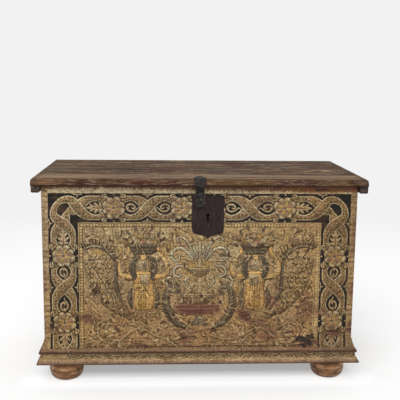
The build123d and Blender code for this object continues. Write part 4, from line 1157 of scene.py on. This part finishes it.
# ---- Plinth ----
# Frieze boards with a flared lip carry the walls. A running scroll is painted along the frieze, dark with
# light edges, and it has worn away most at the left of the front and at the corners.
plinth_paint, plinth_coat = distemper("distemper on the mouldings")
tree = plinth_paint.node_tree
height = add(tree, "SeparateXYZ", add(tree, "TexCoord").outputs["Object"]).outputs["Z"]
feed(tree, plinth_coat, {"Paint": moulding_colour(tree, height)})
finish_nodes(plinth_paint, "plinth_front", "plinth_left", "plinth_right")
frieze_out = 0.015  # of the frieze's face beyond the wall
frieze_middle, lobe = 119.5, 50  # height of the scroll's line, and length of each of its lobes
random.seed(7)


def running_scroll(half, lost=0):
    """Lobes up and down in turn, each with a curl in it and a leaf beside. The first few are lost."""
    count = round(2 * half / lobe)
    long = 2 * half / count
    for i in range(lost, count):
        up = 1 if i % 2 else -1
        u = -half + (i + 0.5) * long + random.uniform(-1.5, 1.5)
        for colour, width, off, coat in (
            ("umber", 6, -2.5, 1), ("bright", 3.8, 0.9, 2), ("brown", 1.8, 4.2, 2)
        ):
            arch = [(-long / 2, 0), (-long * 0.32, 7), (0, 9.5), (long * 0.32, 7), (long / 2, 0)]
            brush(colour, [(u + a, frieze_middle + up * (b + off - 1)) for a, b in arch], width, coat)
        for colour, width, off, coat in (("bright", 4.6, 0, 2), ("umber", 2.6, -2.6, 3)):
            turn = [(11, -6), (15, 0), (7, 5), (-6, 4), (-10, -2), (-3, -5), (2, -2)]
            brush(
                colour, [(u + a, frieze_middle + up * (b - 2 + off)) for a, b in turn],
                [width * 0.6] + [width] * 6, coat,
            )
        for flip in (1, -1):
            leaf = [(flip * 17, -7), (flip * 22, -3), (flip * 23, 3)]
            brush("brown", [(u + a, frieze_middle + up * b) for a, b in leaf], [2, 5, 1], 1)


front_frieze = front_plane @ Matrix.Translation((0, 0, frieze_out))
running_scroll((half_width + frieze_out) / mm, 2)
lay("frieze_front", front_frieze, finishes, "chest")
for side, name in ((1, "right"), (-1, "left")):
    running_scroll(half_depth / mm)
    lay(f"frieze_{name}", wall_plane(side, half_width + frieze_out), finishes, "chest")


# ---- Lid ----
# Three poplar planks, once painted like the front. Four centuries of hands and candle smoke have worn them to
# grey-brown wood, with paint left in the grain, most of it along the front edge.
lid_low, lid_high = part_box("lid_front_plank")
lid_top, lid_edge = lid_high.z, lid_low.y
moulded_edge = 0.025  # from the lid's front to the step behind its moulding
edge_step = 0.0005  # half the width over which one part's finish gives way to the next at that step
top_depth, under_depth = 0.004, 0.002  # how deep the finishes of the top and the underside reach
lip_top, lip_foot = 0.0045, 0.003  # of the moulding's lower lip, above the underside
# How far behind the moulding the old ground has lasted, and where it ends.
ground_from, ground_to = 0.105, 0.130
end_from, end_to = 0.594, 0.606  # distances from the middle between which the boards turn to end grain


def finish(name, roughness, level=0.3):
    """A new finish: its material, node tree, shader and object coordinates."""
    material = bpy.data.materials.new(name)
    material.use_nodes = True
    tree = material.node_tree
    shader = tree.nodes["Principled BSDF"]
    feed(tree, shader, {"Roughness": roughness, "Specular IOR Level": level})
    return material, tree, shader, add(tree, "TexCoord").outputs["Object"]


# Scrubbed and smoked poplar: dull, with soft wood worn back between harder streaks 16 mm wide and 300 mm
# long, so that it looks furrowed and changes from grey to red-brown along the boards.
lid_wood, tree, shader, here = finish("weathered poplar lid", 0.8, 0.12)
place = add(tree, "SeparateXYZ", here)
x, y, z = (place.outputs[axis] for axis in "XYZ")
streak = add(tree, "TexNoise", add(tree, "Mapping", here, Scale=(3.2, 62, 62)), 1, 8, 0.68)
tone = add(
    tree,
    "ValToRGB",
    streak,
    stops=((0.36, "#261b15"), (0.46, "#413127"), (0.54, "#594738"), (0.64, "#7f6a53")),
)
patchy = add(tree, "TexNoise", add(tree, "Mapping", here, Scale=(8, 20, 20)), 1, 6, 0.8)
patchy = add(tree, "Math", patchy, 0.55, operation="MULTIPLY")
patchy = add(tree, "Math", streak, 0.45, patchy, operation="MULTIPLY_ADD")
broad = add(
    tree,
    "ValToRGB",
    patchy,
    stops=((0.41, "#19110c"), (0.47, "#3b2d24"), (0.53, "#69543f"), (0.60, "#b5a184")),
)
on_top = add(tree, "Math", z, lid_top - top_depth, operation="GREATER_THAN")
broadly = add(tree, "Math", on_top, 0.5, 0.2, operation="MULTIPLY_ADD")
tone = add(tree, "Mix", broadly, tone, broad, data_type="RGBA")

# The streaks turn redder or greyer from place to place, and specks of pale ground are left in the grain.
patch_hue = add(tree, "TexNoise", add(tree, "Mapping", here, Scale=(4, 20, 20)), 1, 5, 0.7)
redder = add(tree, "MapRange", patch_hue, 0.51, 0.60, 0, 0.65)
greyer = add(tree, "MapRange", patch_hue, 0.48, 0.40, 0, 0.5)
tone = add(tree, "Mix", redder, tone, "#5b3223", data_type="RGBA")
tone = add(tree, "Mix", greyer, tone, "#5d5852", data_type="RGBA")
paler = add(tree, "MapRange", x, -0.25, -0.55, 0, 0.3)
paler = add(tree, "Math", paler, add(tree, "MapRange", streak, 0.42, 0.58), operation="MULTIPLY")
tone = add(tree, "Mix", paler, tone, "#85755e", data_type="RGBA")
flecks = add(tree, "TexNoise", add(tree, "Mapping", here, Scale=(11, 28, 28)), 1, 5, 0.75)
flecks = add(tree, "Math", flecks, 0.6, operation="MULTIPLY")
flecks = add(tree, "Math", streak, 0.4, flecks, operation="MULTIPLY_ADD")
flecks = add(tree, "MapRange", flecks, 0.545, 0.585, 0, 0.8)
flecks = add(tree, "Math", flecks, on_top, operation="MULTIPLY")
tone = add(tree, "Mix", flecks, tone, "#a89576", data_type="RGBA")

# A band of the old painting's ground has lasted behind the moulding, and brown and russet paint on it.
behind_edge = add(tree, "Math", y, lid_edge + moulded_edge, operation="SUBTRACT")
old_band = add(tree, "MapRange", behind_edge, ground_to, ground_from, 0, 0.8)
old_band = add(tree, "Math", old_band, add(tree, "MapRange", streak, 0.36, 0.55), operation="MULTIPLY")
old_band = add(tree, "Math", old_band, on_top, operation="MULTIPLY")
tone = add(tree, "Mix", old_band, tone, "#a08a71", data_type="RGBA")
on_edge = add(tree, "MapRange", behind_edge, edge_step, -edge_step)
edge_streak = add(tree, "TexNoise", add(tree, "Mapping", here, Scale=(24, 60, 240)), 1, 8, 0.75)
edge_tone = add(
    tree,
    "ValToRGB",
    edge_streak,
    stops=((0.37, "#261913"), (0.46, "#483228"), (0.53, "#60483b"), (0.64, "#ad9684")),
)
edge_patch = add(tree, "TexNoise", add(tree, "Mapping", here, Scale=(4, 4, 4)), 1, 4, 0.65)
ochre_left = add(tree, "MapRange", edge_patch, 0.50, 0.58, 0, 0.5)
russet_left = add(tree, "MapRange", edge_patch, 0.45, 0.38, 0, 0.45)
edge_tone = add(tree, "Mix", ochre_left, edge_tone, "#6f5836", data_type="RGBA")
edge_tone = add(tree, "Mix", russet_left, edge_tone, "#573021", data_type="RGBA")
edge_left = add(tree, "MapRange", x, -0.46, -0.58, 0, 0.45)
edge_tone = add(tree, "Mix", edge_left, edge_tone, "#8d6d4c", data_type="RGBA")
tone = add(tree, "Mix", on_edge, tone, edge_tone, data_type="RGBA")
ends = add(tree, "MapRange", add(tree, "Math", x, operation="ABSOLUTE"), end_from, end_to, 0, 0.45)
tone = add(tree, "Mix", ends, tone, "#4b3c31", data_type="RGBA")  # damp has darkened the end grain

# Smoke has dulled all of it. The lower lip of the moulding is darkened to a painted shadow line, and the
# underside is darker.
fine = add(tree, "TexNoise", add(tree, "Mapping", here, Scale=(12, 260, 260)), 1, 3, 0.7)
fine = add(tree, "MapRange", fine, 0.3, 0.7, 0.64, 1.22)
tone = add(tree, "VectorMath", tone, fine, operation="MULTIPLY")
tone = add(tree, "VectorMath", tone, (0.91, 0.835, 0.775), operation="MULTIPLY")
painted_shade_line = add(tree, "MapRange", z, lid_low.z + lip_top, lid_low.z + lip_foot, 0, 0.92)
painted_shade_line = add(tree, "Math", painted_shade_line, on_edge, operation="MULTIPLY")
tone = add(tree, "Mix", painted_shade_line, tone, "#1a0e09", data_type="RGBA")
underneath = add(tree, "Math", z, lid_low.z + under_depth, operation="LESS_THAN")
underneath = add(tree, "Math", underneath, 0.5, operation="MULTIPLY")
tone = add(tree, "Mix", underneath, tone, "#4f3c2c", data_type="RGBA")
furrows = add(tree, "Math", streak, add(tree, "Math", fine, 0.3, operation="MULTIPLY"), operation="ADD")
relief = add(tree, "Bump", Strength=0.7, Distance=0.002, Height=furrows)
feed(tree, shader, {"Base Color": tone, "Normal": relief})
finish_nodes(lid_wood, "lid_front_plank", "lid_middle_plank", "lid_rear_plank")

# What is left of the painting on top: loops and dashes behind the moulded edge, and a ruled corner.
lid_plane = Matrix(((1, 0, 0, 0), (0, 1, 0, 0), (0, 0, 1, lid_top), (0, 0, 0, 1)))
band_back, band_front = -192, -288
random.seed(9)
for i in range(34):
    u = -585 + i * 34 + random.uniform(-6, 6)
    if random.random() < 0.62:
        long = random.uniform(8, 26)
        brush(
            random.choice(("cream", "tan")),
            [(u, band_front), (u + long, band_front + 2)],
            [1, random.uniform(2, 5)],
            1,
        )
    if random.random() < 0.45:
        v = random.uniform(band_front + 14, band_back)
        brush(
            random.choice(("tan", "umber", "cream")),
            [(u, v), (u + 14, v + random.uniform(-7, 7)), (u + 30, v)],
            [1, 4, 1],
            1,
        )
for u, size in ((-520, 40), (-430, 30), (-330, 26), (-120, 24), (110, 24), (210, 26), (330, 34)):
    ring = [(u + size * 1.5 * math.cos(a * 0.9), -240 + size * 0.8 * math.sin(a * 0.9)) for a in range(6)]
    brush("cream" if u < -400 or u > 300 else "tan", ring, [1, 3, 4, 4, 3, 1], 1)
brush("cream", [(60, -198), (150, -194), (240, -199), (330, -195)], [1, 3.4, 3, 1], 1)
brush("tan", [(372, 262), (372, 120), (374, -20), (376, -120)], [2, 2.6, 2, 1], 1)
brush("tan", [(372, 262), (250, 264), (120, 262)], [2, 2.6, 1], 1)
for i in range(30):
    u, v = random.uniform(-560, 560), random.uniform(-170, 280)
    brush(
        random.choice(("tan", "tan", "russet")),
        [(u, v), (u + random.uniform(14, 60), v + random.uniform(-4, 4))],
        [1, random.uniform(2, 5)],
        1,
    )
# What is left of the paint is rubbed through along the grain, in streaks 8 mm wide, and as dull as the wood.
lid_finishes = {}
for colour, code in (("cream", "#aa9877"), ("tan", "#8d7a5f"), ("umber", "#3a2d24"), ("russet", "#5f3a2c")):
    material, tree, shader, here = finish(f"{colour} remains of distemper", 0.75)
    rubbed = add(tree, "TexNoise", add(tree, "Mapping", here, Scale=(14, 120, 120)), 1, 5, 0.7)
    rubbed = add(tree, "MapRange", rubbed, 0.44, 0.56)
    feed(tree, shader, {"Base Color": add(tree, "Mix", rubbed, "#4f4135", code, data_type="RGBA")})
    lid_finishes[colour] = material
lay("lid_remains", lid_plane, lid_finishes, "lid")


# ---- Cleats ----
# An oak batten is nailed under each end of the lid to keep it flat. Unpainted, it has darkened most.
def plain_wood(name, dark, mid, light, stretch, roughness=0.7, blotches=6, by_height=None):
    """Aged wood with grain along one axis: streaks, slight furrows, and a tone that may change by height."""
    material, tree, shader, here = finish(name, roughness)
    streak = add(tree, "TexNoise", add(tree, "Mapping", here, Scale=stretch), 1, 8, 0.65)
    tone = add(tree, "ValToRGB", streak, stops=((0.34, dark), (0.5, mid), (0.66, light)))
    blotch = add(tree, "MapRange", add(tree, "TexNoise", here, blotches, 5, 0.7), 0.3, 0.7, 0.7, 1.2)
    tone = add(tree, "VectorMath", tone, blotch, operation="MULTIPLY")
    if by_height:
        height = add(tree, "SeparateXYZ", here).outputs["Z"]
        tone = add(tree, "VectorMath", tone, by_height(tree, height), operation="MULTIPLY")
    relief = add(tree, "Bump", Strength=0.5, Distance=0.001, Height=streak)
    feed(tree, shader, {"Base Color": tone, "Normal": relief})
    return material


# Rough sawn oak, nearly black and dull, with streaks 17 mm wide across the lid.
cleat_oak = plain_wood("smoke-darkened oak cleats", "#1f1713", "#3a2d26", "#6b594a", (60, 5, 60), 0.75, 30)
finish_nodes(cleat_oak, "lid_left_cleat", "lid_right_cleat")


# ---- Bare wood ----
# Back boards, bottom planks and bearers are unpainted softwood, planed by hand and darkened with age. They
# look dull and dry, with streaks 10 to 17 mm wide, and the back's two boards meet in an open joint.
back_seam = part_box("back_lower_board")[1].z
seam_blur = 0.0005
joint_half, joint_shade = 0.0018, 0.0008  # half the width of the joint's shadow, and of its darkest part


def seamed(tree, height):
    """A paler upper board, a darker lower one, and the dark joint between them."""
    board = add(tree, "MapRange", height, back_seam - seam_blur, back_seam + seam_blur, 0.9, 1.08)
    joint = add(tree, "Math", height, back_seam, operation="SUBTRACT")
    joint = add(tree, "Math", joint, operation="ABSOLUTE")
    joint = add(tree, "MapRange", joint, joint_shade, joint_half, 0.25, 1)
    return add(tree, "Math", board, joint, operation="MULTIPLY")


bare_wood = plain_wood("aged bare softwood", "#34251b", "#59422f", "#7b6048", (2.5, 60, 95), by_height=seamed)
finish_nodes(bare_wood, *(name for name in nodes if name.startswith(("back_", "bottom_plank"))))
finish_nodes(bare_wood, "left_bearer", "right_bearer")


# ---- Feet ----
# Bun feet turned from walnut on a lathe and waxed, with a tenon up through the bearer. Wax gives them a soft
# shine. Their colour carries a painted highlight on the shoulders, a painted dark groove below it, and
# painted shade in the neck and near the floor. The grain runs across them.
foot_height = 0.09


def lit_and_shaded_bands(tree, height):
    """Painted shade near the floor and in the neck, a painted dark groove, and a painted highlight on the
    shoulders.
    """
    return add(
        tree,
        "ValToRGB",
        add(tree, "MapRange", height, 0, foot_height),
        stops=(
            (0.0, "#8a8580"), (0.22, "#c8c6c4"), (0.40, "#dcdad8"), (0.46, "#8a8682"), (0.50, "#dcdad8"),
            (0.60, "#ffffff"), (0.70, "#e0dcd8"), (0.82, "#a8a39d"), (1.0, "#6f6a66"),
        ),
    )


foot_wood = plain_wood(
    "turned and waxed walnut", "#6d442a", "#c18a5c", "#fccb9a", (9, 60, 60), 0.42, 20, by_height=lit_and_shaded_bands
)
finish_nodes(foot_wood, *(name for name in nodes if name.endswith("_foot")))


# ---- Hinges, hasp and nails ----
# Strap hinges, the hasp with its staple, and the nails are forged from wrought iron and hammered black. The
# hammer's facets are about 8 mm across, so that the dull skin catches the light in small patches.
def forged(name, dark, mid, light, rust, stretch, metallic):
    """Hammered iron: a dull dark metal with facets and pits, and with rust in spots of about 14 mm."""
    material, tree, shader, here = finish(name, 0.68, 0.25)
    skin = add(tree, "TexNoise", add(tree, "Mapping", here, Scale=stretch), 1, 6, 0.7)
    tone = add(tree, "ValToRGB", skin, stops=((0.34, dark), (0.5, mid), (0.68, light)))
    rusted = add(tree, "MapRange", add(tree, "TexNoise", here, 70, 4, 0.7), 0.52, 0.64, 0, 0.7)
    facets = add(tree, "TexVoronoi", here, 120, feature="SMOOTH_F1")
    lift = add(tree, "Math", skin, 0.8, facets, operation="MULTIPLY_ADD")
    relief = add(tree, "Bump", Strength=0.7, Distance=0.0012, Height=lift)
    tone = add(tree, "Mix", rusted, tone, rust, data_type="RGBA")
    feed(tree, shader, {"Base Color": tone, "Normal": relief, "Metallic": metallic})
    return material


black_iron = forged("forged black iron", "#171413", "#292523", "#544d46", "#36241b", (90, 90, 90), 0.35)
finish_nodes(black_iron, *(name for name in nodes if name.startswith(("hinge_", "hasp_"))))
finish_nodes(black_iron, *(name for name in nodes if name.endswith("_nails")))


# ---- Lock ----
# A plate of sheet iron nailed over the lock, whose case, bolt, spring and ward are let into the front. Rust
# has turned it red-brown and matt, in upright streaks about 17 mm wide.
lock_iron = forged("rusted lock iron", "#120a0a", "#231716", "#402c28", "#2d1b16", (150, 60, 22), 0.0)
finish_nodes(lock_iron, "lock_plate", "lock_case", "lock_bolt", "lock_spring", "bolt_guides", "key_ward")
